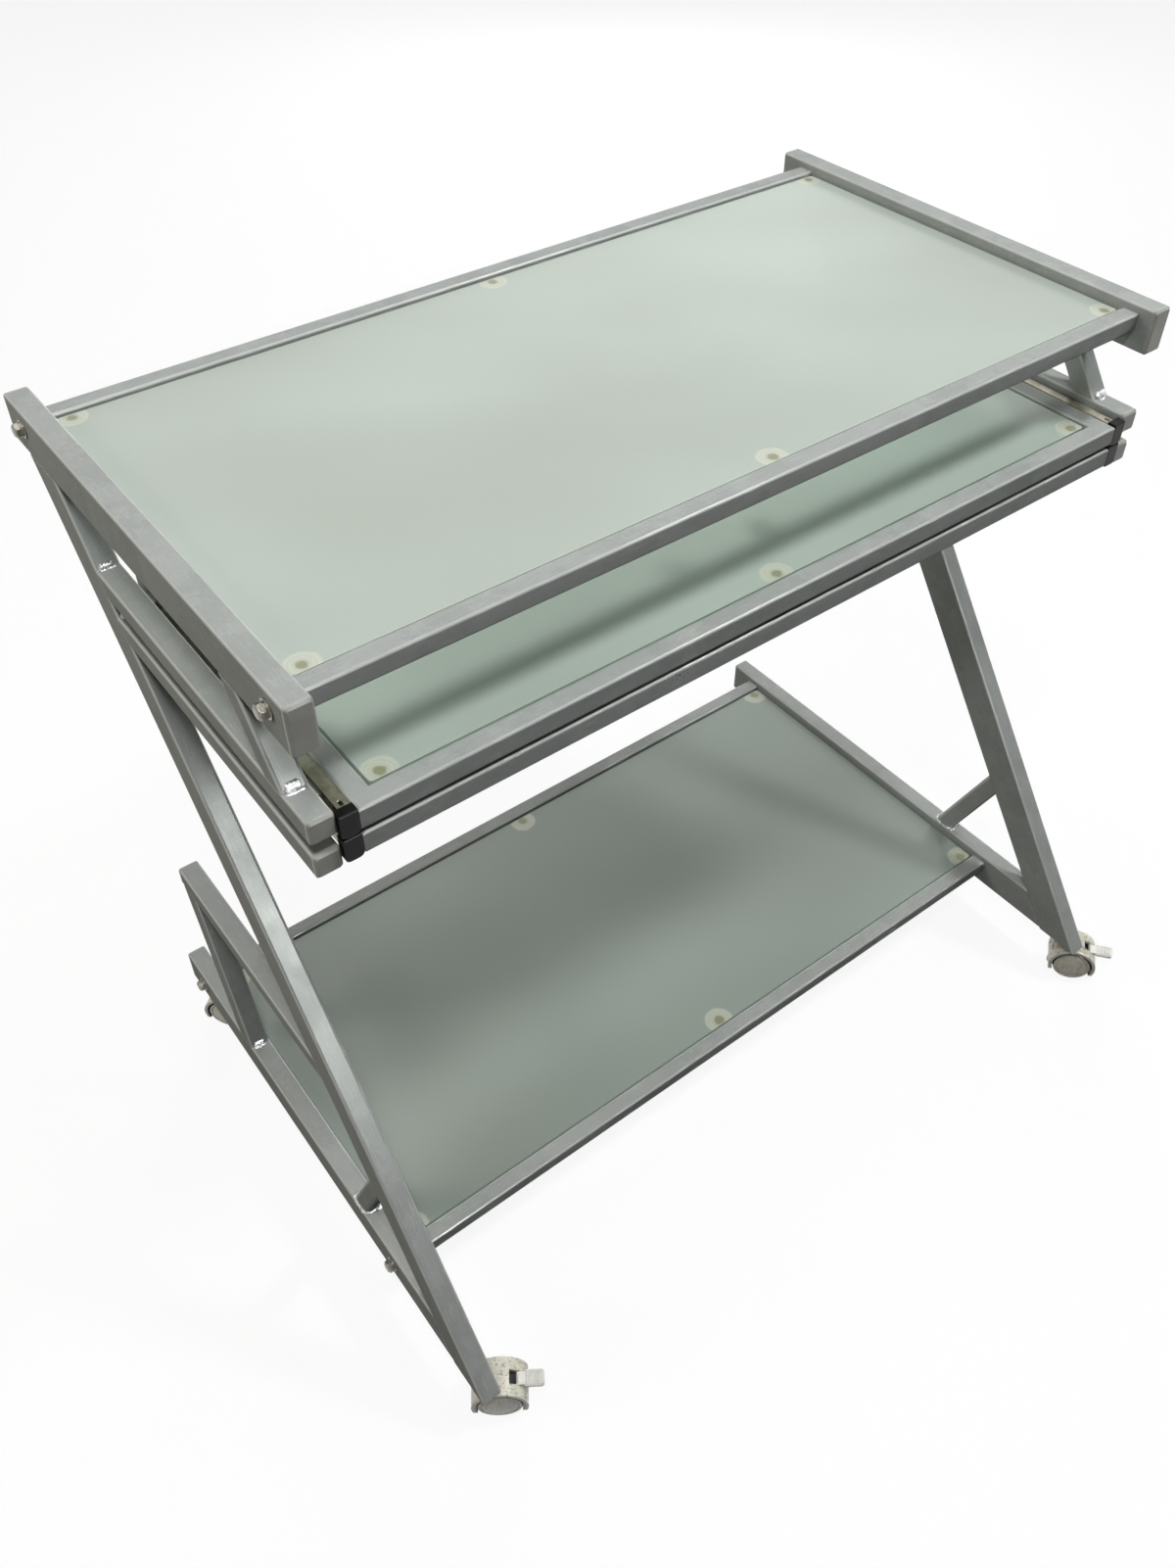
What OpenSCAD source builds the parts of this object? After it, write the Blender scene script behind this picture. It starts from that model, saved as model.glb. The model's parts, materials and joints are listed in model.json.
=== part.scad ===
// Computer desk with raked tube side frames, three frosted glass panels, a lower glass
// tray and hooded castors. Millimetres, +Z up, the front of the desk towards -Y.
// The origin is on the floor, under the centre of the top rails.

/* [Overall] */
// Height of the top rails' upper faces above the floor
desk_h = 750; // [680:1:900]
// Width over the two side frames
desk_w = 800; // [620:1:1200]
// Length of the top rails from front cap to rear cap
top_depth = 434; // [400:1:560]

/* [Side frames] */
// Width of every side frame tube, across the desk
tube_w = 19; // [17:0.5:26]
// Height of the top and bottom rails, and depth of the legs across their slope
rail_h = 38; // [32:1:50]
// Wall of every steel tube
wall = 1.5; // [1:0.1:2]
// Outside corner radius of every steel tube
corner_r = 2.5; // [2.1:0.1:3]
// Lean of the legs and front struts from upright
leg_rake = 36.3; // [30:0.1:40]
// Distance from a top rail's rear end to the leg's rear edge, under the rail
leg_inset = 26; // [18:1:50]
// Side of the square slide rails and of the front struts
slide_tube = 19; // [16:0.5:24]
// Drop from the top rail's upper face to the upper slide rail's upper face
slide_drop = 93.5; // [85:0.5:130]
// Height from one slide rail to the next
slide_pitch = 30; // [28:0.5:45]
// Distance from the top rail's front end back to the slide rails' front ends
slide_inset = 1.5; // [0:0.5:20]
// Distance from the top rail's front end to the front strut's middle, under the rail
strut_inset = 86; // [60:1:110]
// Width of the rounded foot braces, across the desk
brace_w = 15; // [12:0.5:17]
// Depth of the foot braces across their slope
brace_d = 20; // [16:0.5:24]
// Outside corner radius of the foot braces
brace_r = 5; // [3:0.5:5.5]
// Height above the bottom rail at which a foot brace meets the leg
brace_rise = 105; // [80:1:140]
// Horizontal run of a foot brace, from the leg to its foot
brace_run = 48; // [30:1:70]

/* [Left side bar] */
// Height of the side bar's upper face above the bottom rail's upper face
side_bar_rise = 207.5; // [160:0.5:260]
// Distance from the bottom rail's rear end forward to the side bar's rear end
side_bar_inset = 77; // [60:1:110]
// Depth of the side strut across its slope
side_strut_d = 25; // [19:0.5:30]
// Distance from the bottom rail's rear end forward to the strut's foot, rear edge
side_strut_inset = 124; // [110:1:160]

/* [Crossbars] */
// Side of the square crossbars
bar = 16; // [14:0.5:20]
// Drop from the rails' upper faces to the crossbars' upper faces
bar_drop = 6.5; // [3:0.5:12]
// Distance from the top rail's front end to the front top bar's front face
top_bar_front = 15.5; // [10:0.5:30]
// Distance from the top rail's rear end to the rear top bar's rear face
top_bar_rear = 24; // [12:0.5:40]
// Distance from the leg to the front shelf bar, along the bottom rail's upper face
shelf_bar_front = 58.5; // [30:0.5:75]
// Distance from the bottom rail's rear end to the rear shelf bar's rear face
shelf_bar_rear = 28.5; // [22:0.5:60]

/* [Glass] */
// Thickness of every glass panel
glass_t = 5; // [4:0.5:6]
// Drop from a bar's upper face to the glass
glass_drop = 3; // [0.5:0.5:5]
// Gap left round every glass panel
glass_gap = 2.5; // [1.5:0.5:5]
// Corner radius of the glass panels
glass_r = 3; // [1:0.5:8]
// Diameter of the silicone pads
pad_d = 17; // [12:0.5:19]
// Thickness of the silicone pads
pad_t = 2; // [1:0.5:3]
// Width of the welded glass tabs
tab_w = 22; // [20:0.5:26]
// Thickness of the welded glass tabs
tab_t = 3; // [2:0.5:4]
// Distance from a bar to the middle of its pads
pad_reach = 12; // [11:0.5:16]
// Gap between a corner tab and the tube beside it
tab_gap = 1.5; // [0.5:0.5:4]

/* [Trays] */
// Depth of the trays from front to back
tray_depth = 300; // [250:1:330]
// Width of the tray tubes, seen from above
tray_tube_w = 16; // [13:0.5:20]
// Height of the tray tubes
tray_tube_h = 18; // [16:0.5:22]
// Drop from the upper slide rail's upper face to the upper tray's upper face
tray_drop = 4.6; // [2:0.1:6]
// Gap between the upper tray and the lower tray
tray_gap = 3; // [1.5:0.1:5]
// How far the trays stand in front of the slide rails
tray_proud = 3; // [0:0.5:12]
// Glass drop inside the tray frames
tray_glass_drop = 2; // [0.5:0.5:3]

/* [Slides] */
// Room for a slide between the slide rail and the tray
slide_room = 14; // [13.8:0.1:18]
// Distance that welded blocks hold the slides off their rails
slide_off = 4.5; // [3:0.1:4.8]
// Height of the slide channels
slide_h = 17; // [16.5:0.5:19]
// Length of the slide channels
slide_len = 290; // [250:1:300]
// How far each tray pulls out
travel = 220; // [120:1:230]
// Depth of the slide channels, from their blocks towards the tray
channel_d = 8.2; // [8:0.1:8.5]
// Length of the slotted tongue in front of each slide channel
tongue_len = 9; // [8:0.5:12]
// Length and width of the slot in the tongue
slot_len = 5.5; // [4:0.5:6]
slot_w = 3; // [2:0.5:4]
// Wall of the slide channels and runners
slide_wall = 1.2; // [1:0.1:1.4]
// Running clearance inside the slides
run_gap = 0.35; // [0.3:0.05:0.5]
// Diameter of the slide balls
ball_d = 2.8; // [2.4:0.1:3]
// Number of balls in each row of a ball cage
balls = 7; // [4:1:9]
// Length of a ball cage
cage_len = 110; // [90:1:140]
// Thickness of the black front bumpers, from front to back
bumper_t = 8; // [6:0.5:12]
// Height of the black front bumpers
bumper_h = 20.4; // [17:0.1:20.6]

/* [Castors] */
// Diameter of the castor wheels
wheel_d = 40; // [36:1:50]
// Width of each castor wheel
wheel_w = 9; // [8:0.5:12]
// Width of the hood's middle web, between the wheels
web_t = 13; // [12.5:0.5:16]
// How far the middle of each wheel's outer face bulges
wheel_dome = 1.2; // [0.6:0.1:2]
// Wall of the castor hoods
hood_wall = 3.5; // [3.2:0.1:4]
// Gap between the wheels and their hood
hood_gap = 1.5; // [1.2:0.1:2]
// Drop of the hoods' lower edges below the axle
hood_drop = 9; // [3:0.5:11]
// Distance from the stem to the axle, seen from above
trail = 18; // [16:0.5:24]
// Gap between the hoods and the frame above them
castor_gap = 3; // [2:0.5:6]
// Diameter of the castor stems
stem_d = 8; // [6:0.5:9]
// Length of stem held in the frame
stem_grip = 22; // [16:1:24]
// Diameter of the castor axles
axle_d = 6; // [5:0.5:7]
// Radial clearance of a shaft in its bore
shaft_gap = 0.05; // [0.02:0.01:0.1]
// Gap between a rear stem's socket and the plug of the rail's cap
socket_gap = 0.7; // [0.5:0.1:10]
// Turn of the front left castor, seen from above
turn_front_left = -34; // [-180:1:180]
// Turn of the front right castor, seen from above
turn_front_right = -52; // [-180:1:180]
// Turn of the rear left castor, seen from above
turn_rear_left = -48; // [-180:1:180]
// Turn of the rear right castor, seen from above
turn_rear_right = -48; // [-180:1:180]

/* [Brake levers] */
// Width of the brake lever's tread
lever_w = 14; // [10:0.5:16]
// Length of the brake lever from its pivot
lever_len = 22; // [18:0.5:26]
// Thickness of the brake lever's tread
lever_t = 2.6; // [2:0.1:3.2]
// Diameter of the brake lever's pivot pin
pivot_d = 2.4; // [2:0.1:2.8]
// Number of ribs across the brake lever's tread
lever_ribs = 8; // [4:1:9]

/* [Caps and bolts] */
// Thickness of the plastic tube caps outside the tube
cap_t = 3.5; // [2:0.5:5]
// Length of cap held inside the tube
cap_plug = 12; // [8:1:20]
// Gap between a cap's plug and the tube
plug_gap = 0.2; // [0.1:0.05:0.4]
// Diameter of the frame bolts
bolt_d = 6; // [5:0.5:8]
// Width across the flats of the bolt heads
bolt_af = 10; // [9:0.5:13]
// Height of the bolt heads
bolt_head_h = 4.5; // [3.5:0.5:6]
// Diameter of the bolt washers
washer_d = 14; // [13:0.5:18]
// Thickness of the bolt washers
washer_t = 1.2; // [0.8:0.1:2]
// Outside diameter of the spring washers
spring_d = 11; // [10.5:0.5:12]
// Thickness of the spring washers
spring_t = 1.6; // [1:0.1:2]
// Length of the threaded insert in a crossbar's end
insert_len = 18; // [12:1:30]

/* [Hidden] */

$fn = 48;
hull_fn = 32;
eps = 0.01;
seat = 0.05;
big = 2 * (desk_w + desk_h + top_depth);

// Castor heights
wheel_r = wheel_d / 2;
pocket_r = wheel_r + hood_gap;
hood_r = pocket_r + hood_wall;
hood_side = 1;
hood_w = web_t + 2 * wheel_w + 2 * hood_side;
boss_top = wheel_r + hood_r;
foot_z = boss_top + castor_gap;

// Side frame
side_x = desk_w / 2 - tube_w / 2;
inner_x = desk_w / 2 - tube_w;
top_front_y = -top_depth / 2;
top_rear_y = top_depth / 2;
top_under_z = desk_h - rail_h;
base_top_z = foot_z + rail_h;
leg_run = rail_h / cos(leg_rake);
strut_run = slide_tube / cos(leg_rake);

function leg_rear_y(z) = top_rear_y - leg_inset - (top_under_z - z) * tan(leg_rake);
function leg_front_y(z) = leg_rear_y(z) - leg_run;

upper_slide_z = desk_h - slide_drop;
lower_slide_z = upper_slide_z - slide_pitch;
slide_front_y = top_front_y + slide_inset;
strut_top_y = top_front_y + strut_inset;
brace_meet_z = base_top_z + brace_rise;
brace_foot_y = leg_rear_y(brace_meet_z) + brace_run;
brace_rake = atan(brace_run / brace_rise);
side_bar_z = base_top_z + side_bar_rise;
side_bar_rear_y = top_rear_y - side_bar_inset;
side_strut_h = side_bar_rise - slide_tube;
side_strut_lean = side_strut_inset - side_bar_inset - cap_t;
side_strut_rake = atan(side_strut_lean / side_strut_h);
side_strut_run = side_strut_d / cos(side_strut_rake);

// Crossbars and glass
bar_len = 2 * inner_x;
top_bar_z = desk_h - bar_drop;
shelf_bar_z = base_top_z - bar_drop;
top_front_bar_y = top_front_y + top_bar_front;
top_rear_bar_y = top_rear_y - top_bar_rear - bar;
shelf_front_bar_y = leg_rear_y(base_top_z) + shelf_bar_front;
shelf_rear_bar_y = top_rear_y - shelf_bar_rear - bar;
tab_drop = glass_drop + glass_t + pad_t;
corner_pad_x = inner_x - tab_gap - tab_w / 2;
bolt_rows = [
    [top_front_bar_y + bar / 2, top_bar_z - bar / 2],
    [top_rear_bar_y + bar / 2, top_bar_z - bar / 2],
    [shelf_front_bar_y + bar / 2, shelf_bar_z - bar / 2],
    [shelf_rear_bar_y + bar / 2, shelf_bar_z - bar / 2]];

// Trays and slides
tray_half = inner_x - slide_room;
tray_front_y = slide_front_y - tray_proud;
tray_rear_y = tray_front_y + tray_depth;
upper_tray_z = upper_slide_z - tray_drop;
lower_tray_z = upper_tray_z - tray_tube_h - tray_gap;
tray_tab_drop = tray_glass_drop + glass_t + pad_t;
tray_pad_x = tray_half - tray_tube_w - tab_gap - tab_w / 2;
runner_short = 6;
runner_rear_y = tray_rear_y - runner_short;
tongue_front_y = tray_front_y + bumper_t + run_gap;
channel_front_y = tongue_front_y + tongue_len;
upper_slide_mid = upper_tray_z - tray_tube_h / 2;
lower_slide_mid = lower_tray_z - tray_tube_h / 2;
flange_in = slide_h / 2 - slide_wall;
ball_v = flange_in - run_gap - ball_d / 2;
runner_v = ball_v - ball_d / 2 - run_gap;
ball_u = channel_d / 2 + 1;
lip_h = 2;
runner_u = 3 * slide_wall;
plate_u = channel_d + 0.4;
cage_wall = 0.8;
end_stop = 8;
bumper_gap = 0.5;
bumper_r = 3.5;
cage_front_y = channel_front_y + travel / 2 + end_stop;
block_len = 16;
block_h = 8;
block_ys = [for (part = [0.07, 0.48, 0.9]) channel_front_y + part * slide_len];

// Castor places
front_stem_y = leg_rear_y(foot_z) - leg_run / 2;
block_w = tube_w - 2 * wall - 2 * plug_gap;
block_d = rail_h - 2 * wall - 2 * plug_gap;
rear_stem_y = top_rear_y - cap_t - cap_plug - socket_gap - block_w / 2;
stem_top_z = foot_z + stem_grip;
boss_r = web_t / 2;
boss_low_z = 7;
web_rise = 3;
stem_low_z = 9;
stem_slack = 0.5;
collar_wall = 1.75;
wheel_side_gap = 0.6;
tread_t = 4;
groove = 1;
pivot_reach = wheel_r + 3.3;
pivot_angle = 41.5;
pivot_x = trail + pivot_reach * cos(pivot_angle);
pivot_z = wheel_r + pivot_reach * sin(pivot_angle);
lever_gap = 0.5;
lever_hub_r = pivot_reach - wheel_r - lever_gap;
lever_hub_w = web_t - 2;
notch_w = lever_hub_w + 2 * lever_gap;
notch_x = 9;
neck_len = 5;
tread_r = 3;
rib_t = 0.9;
rib_h = 0.7;

steel = [0.72, 0.73, 0.74];
cap_grey = [0.49, 0.50, 0.47];
zinc = [0.80, 0.78, 0.70];
black = [0.06, 0.06, 0.06];
glass_green = [0.66, 0.76, 0.71];
silicone = [0.86, 0.86, 0.74];
castor_beige = [0.80, 0.78, 0.71];

// Flat shapes

module rounded_rect(w, h, r) {
    square([w - 2 * r, h], center = true);
    square([w, h - 2 * r], center = true);
    for (sx = [-1, 1], sy = [-1, 1])
        translate([sx * (w / 2 - r), sy * (h / 2 - r)]) circle(r);
}

module tube_section(w, h, r) {
    difference() {
        rounded_rect(w, h, r);
        rounded_rect(w - 2 * wall, h - 2 * wall, r - wall);
    }
}

// Straight tubes, from one coordinate to another

module tube_along_y(w, h, y0, y1) {
    translate([0, y1, 0]) rotate([90, 0, 0]) linear_extrude(y1 - y0) tube_section(w, h, corner_r);
}

module tube_along_x(w, h, x0, x1) {
    translate([x0, 0, 0]) rotate([90, 0, 90]) linear_extrude(x1 - x0) tube_section(w, h, corner_r);
}

// Leaning solid between two heights: its middle is at y_at where z is z_at
module leaning(rake, y_at, z_at, z0, z1) {
    long = (z1 - z0) / cos(rake) + 4 * rail_h;
    intersection() {
        translate([0, y_at, z_at]) rotate([-rake, 0, 0])
            translate([0, 0, -long]) linear_extrude(2 * long) children();
        translate([-big / 2, -big / 2, z0]) cube([big, big, z1 - z0]);
    }
}

// Everything behind the plane of a leg's front face, or before its rear face
module behind_leg_front() {
    translate([0, leg_front_y(foot_z), foot_z]) rotate([-leg_rake, 0, 0])
        translate([-tube_w, 0, -big / 2]) cube([2 * tube_w, big, big]);
}

module before_leg_rear() {
    translate([0, leg_rear_y(foot_z), foot_z]) rotate([-leg_rake, 0, 0])
        translate([-tube_w, -big, -big / 2]) cube([2 * tube_w, big, big]);
}

module at_side(side) {
    translate([side * side_x, 0, 0]) children();
}

module both_sides() {
    for (side = [-1, 1]) at_side(side) children();
}

module bolt_holes(rows) {
    for (row = rows)
        translate([0, row[0], row[1]]) rotate([0, 90, 0])
            cylinder(d = bolt_d + 2 * plug_gap, h = 2 * tube_w, center = true);
}

// Side frames

module top_rail(side) {
    color(steel) at_side(side) difference() {
        translate([0, 0, desk_h - rail_h / 2])
            tube_along_y(tube_w, rail_h, top_front_y + cap_t, top_rear_y - cap_t);
        bolt_holes([bolt_rows[0], bolt_rows[1]]);
    }
}

module leg(side) {
    middle_y = leg_rear_y(foot_z) - leg_run / 2;
    color(steel) at_side(side)
        leaning(leg_rake, middle_y, foot_z, foot_z, top_under_z) tube_section(tube_w, rail_h, corner_r);
}

// Slide rail, with the welded blocks that hold its slide off it
module slide_rail(side, top_z, slide_mid) {
    rail_mid = top_z - slide_tube / 2;
    color(steel) at_side(side) difference() {
        union() {
            translate([0, 0, rail_mid])
                tube_along_y(tube_w, slide_tube, slide_front_y + cap_t, leg_front_y(top_z) + rail_h);
            for (y = block_ys)
                translate([-side * (tube_w + slide_off - wall / 2) / 2, y, (rail_mid + slide_mid) / 2])
                    cube([slide_off + wall / 2, block_len, block_h], center = true);
        }
        behind_leg_front();
    }
}

module front_strut(side) {
    color(steel) at_side(side)
        leaning(leg_rake, strut_top_y, top_under_z, upper_slide_z, top_under_z)
            tube_section(tube_w, slide_tube, corner_r);
}

module bottom_rail(side) {
    color(steel) at_side(side) difference() {
        translate([0, 0, foot_z + rail_h / 2])
            tube_along_y(tube_w, rail_h, leg_rear_y(foot_z) - eps, top_rear_y - cap_t);
        before_leg_rear();
        bolt_holes([bolt_rows[2], bolt_rows[3]]);
        translate([0, rear_stem_y, foot_z - eps]) cylinder(d = stem_d + 2, h = wall + 2 * eps);
    }
}

module foot_brace(side) {
    color(steel) at_side(side) difference() {
        leaning(-brace_rake, brace_foot_y, base_top_z, base_top_z, brace_meet_z + rail_h)
            tube_section(brace_w, brace_d, brace_r);
        before_leg_rear();
    }
}

module left_side_bar() {
    color(steel) at_side(-1) difference() {
        translate([0, 0, side_bar_z - slide_tube / 2])
            tube_along_y(tube_w, slide_tube, leg_rear_y(side_bar_z) - rail_h, side_bar_rear_y - cap_t);
        before_leg_rear();
    }
}

module left_side_strut() {
    foot_y = top_rear_y - side_strut_inset - side_strut_run / 2;
    color(steel) at_side(-1)
        leaning(side_strut_rake, foot_y, base_top_z, base_top_z, base_top_z + side_strut_h)
            tube_section(tube_w, side_strut_d, corner_r);
}

// Plastic cap: a rounded flange over the tube's end and a hollow plug inside it.
// The flange faces +Y when facing is 1, and its inner face is at y.
module tube_cap(w, h, y, facing) {
    inner_w = w - 2 * wall - 2 * plug_gap;
    inner_h = h - 2 * wall - 2 * plug_gap;
    edge = cap_t / 2;
    plug_wall = 2;
    translate([0, y, 0]) rotate([facing > 0 ? -90 : 90, 0, 0]) {
        hull() {
            linear_extrude(cap_t - edge) rounded_rect(w, h, corner_r, $fn = hull_fn);
            linear_extrude(cap_t)
                rounded_rect(w - 2 * edge, h - 2 * edge, corner_r - edge / 2, $fn = hull_fn);
        }
        translate([0, 0, -cap_plug]) linear_extrude(cap_plug) difference() {
            rounded_rect(inner_w, inner_h, corner_r - wall);
            rounded_rect(inner_w - 2 * plug_wall, inner_h - 2 * plug_wall, plug_wall / 4);
        }
    }
}

module top_rail_caps() {
    color(cap_grey) both_sides() translate([0, 0, desk_h - rail_h / 2]) {
        tube_cap(tube_w, rail_h, top_front_y + cap_t, -1);
        tube_cap(tube_w, rail_h, top_rear_y - cap_t, 1);
    }
}

module bottom_rail_caps() {
    color(cap_grey) both_sides() translate([0, 0, foot_z + rail_h / 2])
        tube_cap(tube_w, rail_h, top_rear_y - cap_t, 1);
}

module square_tube_caps() {
    color(cap_grey) {
        for (top_z = [upper_slide_z, lower_slide_z])
            both_sides() translate([0, 0, top_z - slide_tube / 2])
                tube_cap(tube_w, slide_tube, slide_front_y + cap_t, -1);
        at_side(-1) translate([0, 0, side_bar_z - slide_tube / 2])
            tube_cap(tube_w, slide_tube, side_bar_rear_y - cap_t, 1);
    }
}

// Crossbars, each with its three welded glass tabs. inward is 1 when the glass lies
// behind the bar and -1 when it lies in front.
module glass_tab(h_drop, reach_from, inward) {
    tab_top = -h_drop;
    translate([0, reach_from, tab_top - tab_t]) {
        translate([0, inward * pad_reach, 0]) cylinder(d = tab_w, h = tab_t);
        translate([-tab_w / 2, min(0, inward * pad_reach), 0]) cube([tab_w, pad_reach, tab_t]);
    }
}

module crossbar(front_y, top_z, inward) {
    color(steel) translate([0, front_y, top_z]) {
        translate([0, bar / 2, -bar / 2]) tube_along_x(bar, bar, -bar_len / 2, bar_len / 2);
        for (x = [-corner_pad_x, 0, corner_pad_x])
            translate([x, 0, 0]) glass_tab(tab_drop, inward > 0 ? bar : 0, inward);
    }
}

module bar_inserts() {
    side = bar - 2 * wall - 2 * plug_gap;
    color(cap_grey) for (row = bolt_rows, s = [-1, 1])
        translate([s * (inner_x - insert_len / 2), row[0], row[1]]) difference() {
            cube([insert_len, side, side], center = true);
            rotate([0, 90, 0]) cylinder(d = bolt_d + 2 * shaft_gap, h = insert_len + 2, center = true);
        }
}

// Bolt with a hexagon head whose corners are rounded off by a sphere
module frame_bolts() {
    under_head = washer_t + spring_t + 2 * seat;
    shank = under_head + tube_w + insert_len - washer_t;
    round_off = 0.75 * bolt_af;
    color(zinc) for (row = bolt_rows, s = [-1, 1])
        translate([s * (desk_w / 2 + under_head), row[0], row[1]]) rotate([0, s * 90, 0]) {
            intersection() {
                cylinder(d = bolt_af / cos(30), h = bolt_head_h, $fn = 6);
                translate([0, 0, bolt_head_h - 0.87 * round_off]) sphere(round_off);
            }
            translate([0, 0, -shank]) cylinder(d = bolt_d, h = shank + eps);
        }
}

module ring(d, h) {
    difference() {
        cylinder(d = d, h = h);
        translate([0, 0, -1]) cylinder(d = bolt_d + 2 * plug_gap, h = h + 2);
    }
}

// A flat washer under a split spring washer, which lies a seat's gap off both its neighbours
module bolt_washers() {
    split = 1;
    color(zinc) for (row = bolt_rows, s = [-1, 1])
        translate([s * desk_w / 2, row[0], row[1]]) rotate([0, s * 90, 0]) {
            ring(washer_d, washer_t);
            translate([0, 0, washer_t + seat]) difference() {
                ring(spring_d, spring_t);
                translate([0, -split / 2, -1]) cube([spring_d, split, spring_t + 2]);
            }
        }
}

// Glass panels and their pads

module glass_panel(x_half, y0, y1, top_z) {
    color(glass_green, 0.6) translate([0, (y0 + y1) / 2, top_z - glass_t]) linear_extrude(glass_t)
        rounded_rect(2 * (x_half - glass_gap), y1 - y0 - 2 * glass_gap, glass_r);
}

module pad_row(xs, y, top_z) {
    color(silicone) for (x = xs) translate([x, y, top_z - pad_t]) cylinder(d = pad_d, h = pad_t);
}

module fixed_pads(front_bar_y, rear_bar_y, bar_z) {
    z = bar_z - glass_drop - glass_t;
    xs = [-corner_pad_x, 0, corner_pad_x];
    pad_row(xs, front_bar_y + bar + pad_reach, z);
    pad_row(xs, rear_bar_y - pad_reach, z);
}

// Trays: four tubes mitred at the corners, tabs on the front and rear ones

module mitre(keep_front) {
    s = keep_front ? 1 : -1;
    y = keep_front ? tray_front_y : tray_rear_y;
    translate([0, y, 0]) linear_extrude(big, center = true)
        polygon([[-tray_half, 0], [tray_half, 0],
            [tray_half - tray_tube_w, s * tray_tube_w], [-tray_half + tray_tube_w, s * tray_tube_w]]);
}

module tray_cross_tube(top_z, at_front) {
    y_mid = at_front ? tray_front_y + tray_tube_w / 2 : tray_rear_y - tray_tube_w / 2;
    tab_y = at_front ? tray_front_y + tray_tube_w : tray_rear_y - tray_tube_w;
    color(steel) {
        intersection() {
            translate([0, y_mid, top_z - tray_tube_h / 2])
                tube_along_x(tray_tube_w, tray_tube_h, -tray_half, tray_half);
            mitre(at_front);
        }
        for (x = [-tray_pad_x, 0, tray_pad_x])
            translate([x, 0, top_z]) glass_tab(tray_tab_drop, tab_y, at_front ? 1 : -1);
    }
}

module tray_side_tubes(top_z) {
    color(steel) for (s = [-1, 1]) difference() {
        translate([s * (tray_half - tray_tube_w / 2), 0, top_z - tray_tube_h / 2])
            tube_along_y(tray_tube_w, tray_tube_h, tray_front_y, tray_rear_y);
        mitre(true);
        mitre(false);
    }
}

module tray_glass(top_z) {
    glass_panel(tray_half - tray_tube_w, tray_front_y + tray_tube_w, tray_rear_y - tray_tube_w,
        top_z - tray_glass_drop);
}

module tray_pads(top_z) {
    z = top_z - tray_glass_drop - glass_t;
    xs = [-tray_pad_x, 0, tray_pad_x];
    pad_row(xs, tray_front_y + tray_tube_w + pad_reach, z);
    pad_row(xs, tray_rear_y - tray_tube_w - pad_reach, z);
}

// Slides. Their sections are drawn with u from the slide rail's blocks towards the tray
// and v up.

module slide_pair(mid_z, y0, y1) {
    for (s = [0, 1]) mirror([s, 0, 0]) translate([inner_x - slide_off, y1, mid_z])
        rotate([90, 0, 0]) linear_extrude(y1 - y0) mirror([1, 0]) children();
}

module channel_section() {
    difference() {
        translate([0, -slide_h / 2]) square([channel_d, slide_h]);
        translate([slide_wall, -flange_in]) square([channel_d, 2 * flange_in]);
    }
    for (v = [slide_h / 2 - lip_h, -slide_h / 2])
        translate([channel_d - slide_wall, v]) square([slide_wall, lip_h]);
}

module runner_section() {
    inside = runner_v - slide_wall;
    difference() {
        translate([runner_u, -runner_v]) square([plate_u - runner_u + eps, 2 * runner_v]);
        translate([runner_u - eps, -inside]) square([plate_u - runner_u - slide_wall, 2 * inside]);
    }
    translate([plate_u, 0.5 - slide_h / 2]) square([slide_room - slide_off - plate_u, slide_h - 1]);
}

// The upper flange of each channel runs on as a tongue with a slot in it
module slide_tongues(mid_z) {
    straight = slot_len - slot_w;
    for (s = [0, 1]) mirror([s, 0, 0]) translate([inner_x - slide_off - channel_d,
        tongue_front_y, mid_z + flange_in])
        linear_extrude(slide_wall) difference() {
            square([channel_d, tongue_len + eps]);
            translate([channel_d / 2, tongue_len / 2]) {
                square([slot_w, straight], center = true);
                for (end = [-1, 1]) translate([0, end * straight / 2]) circle(d = slot_w);
            }
        }
}

module slide_channels(mid_z) {
    color(zinc) {
        slide_pair(mid_z, channel_front_y, channel_front_y + slide_len) channel_section();
        slide_tongues(mid_z);
    }
}

module slide_runners(mid_z) {
    color(zinc) slide_pair(mid_z, tray_front_y + bumper_t, runner_rear_y) runner_section();
}

module ball_cages(mid_z) {
    web_u = slide_wall + run_gap;
    flange_u = channel_d - slide_wall - run_gap;
    color(zinc) {
        slide_pair(mid_z, cage_front_y, cage_front_y + cage_len) {
            translate([web_u, -ball_v - cage_wall / 2]) square([cage_wall, 2 * ball_v + cage_wall]);
            for (s = [-1, 1]) translate([web_u, s * ball_v - cage_wall / 2])
                square([flange_u - web_u, cage_wall]);
        }
        for (side = [-1, 1], s = [-1, 1], i = [0 : balls - 1])
            translate([side * (inner_x - slide_off - ball_u), cage_front_y + cage_len * (i + 0.5) / balls,
                mid_z + s * ball_v]) sphere(d = ball_d, $fn = 24);
    }
}

// Bumper: square above, rounded below, with a small round on its front edges
module bumper_face(inset) {
    half_w = (slide_room - bumper_gap) / 2 - inset;
    half_h = bumper_h / 2 - inset;
    for (s = [-1, 1]) {
        translate([s * (half_w - 0.5), half_h - 0.5]) circle(0.5, $fn = 12);
        translate([s * (half_w - bumper_r), bumper_r - half_h]) circle(bumper_r, $fn = hull_fn);
    }
}

module slide_bumpers(mid_z) {
    edge = 0.8;
    color(black) for (side = [-1, 1])
        translate([side * (inner_x - (slide_room + bumper_gap) / 2), tray_front_y + bumper_t, mid_z])
            rotate([90, 0, 0]) hull() {
                linear_extrude(bumper_t - edge) bumper_face(0);
                linear_extrude(bumper_t) bumper_face(edge);
            }
}

// Castors, drawn with the stem on the Z axis and the axle trailing along +X

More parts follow.
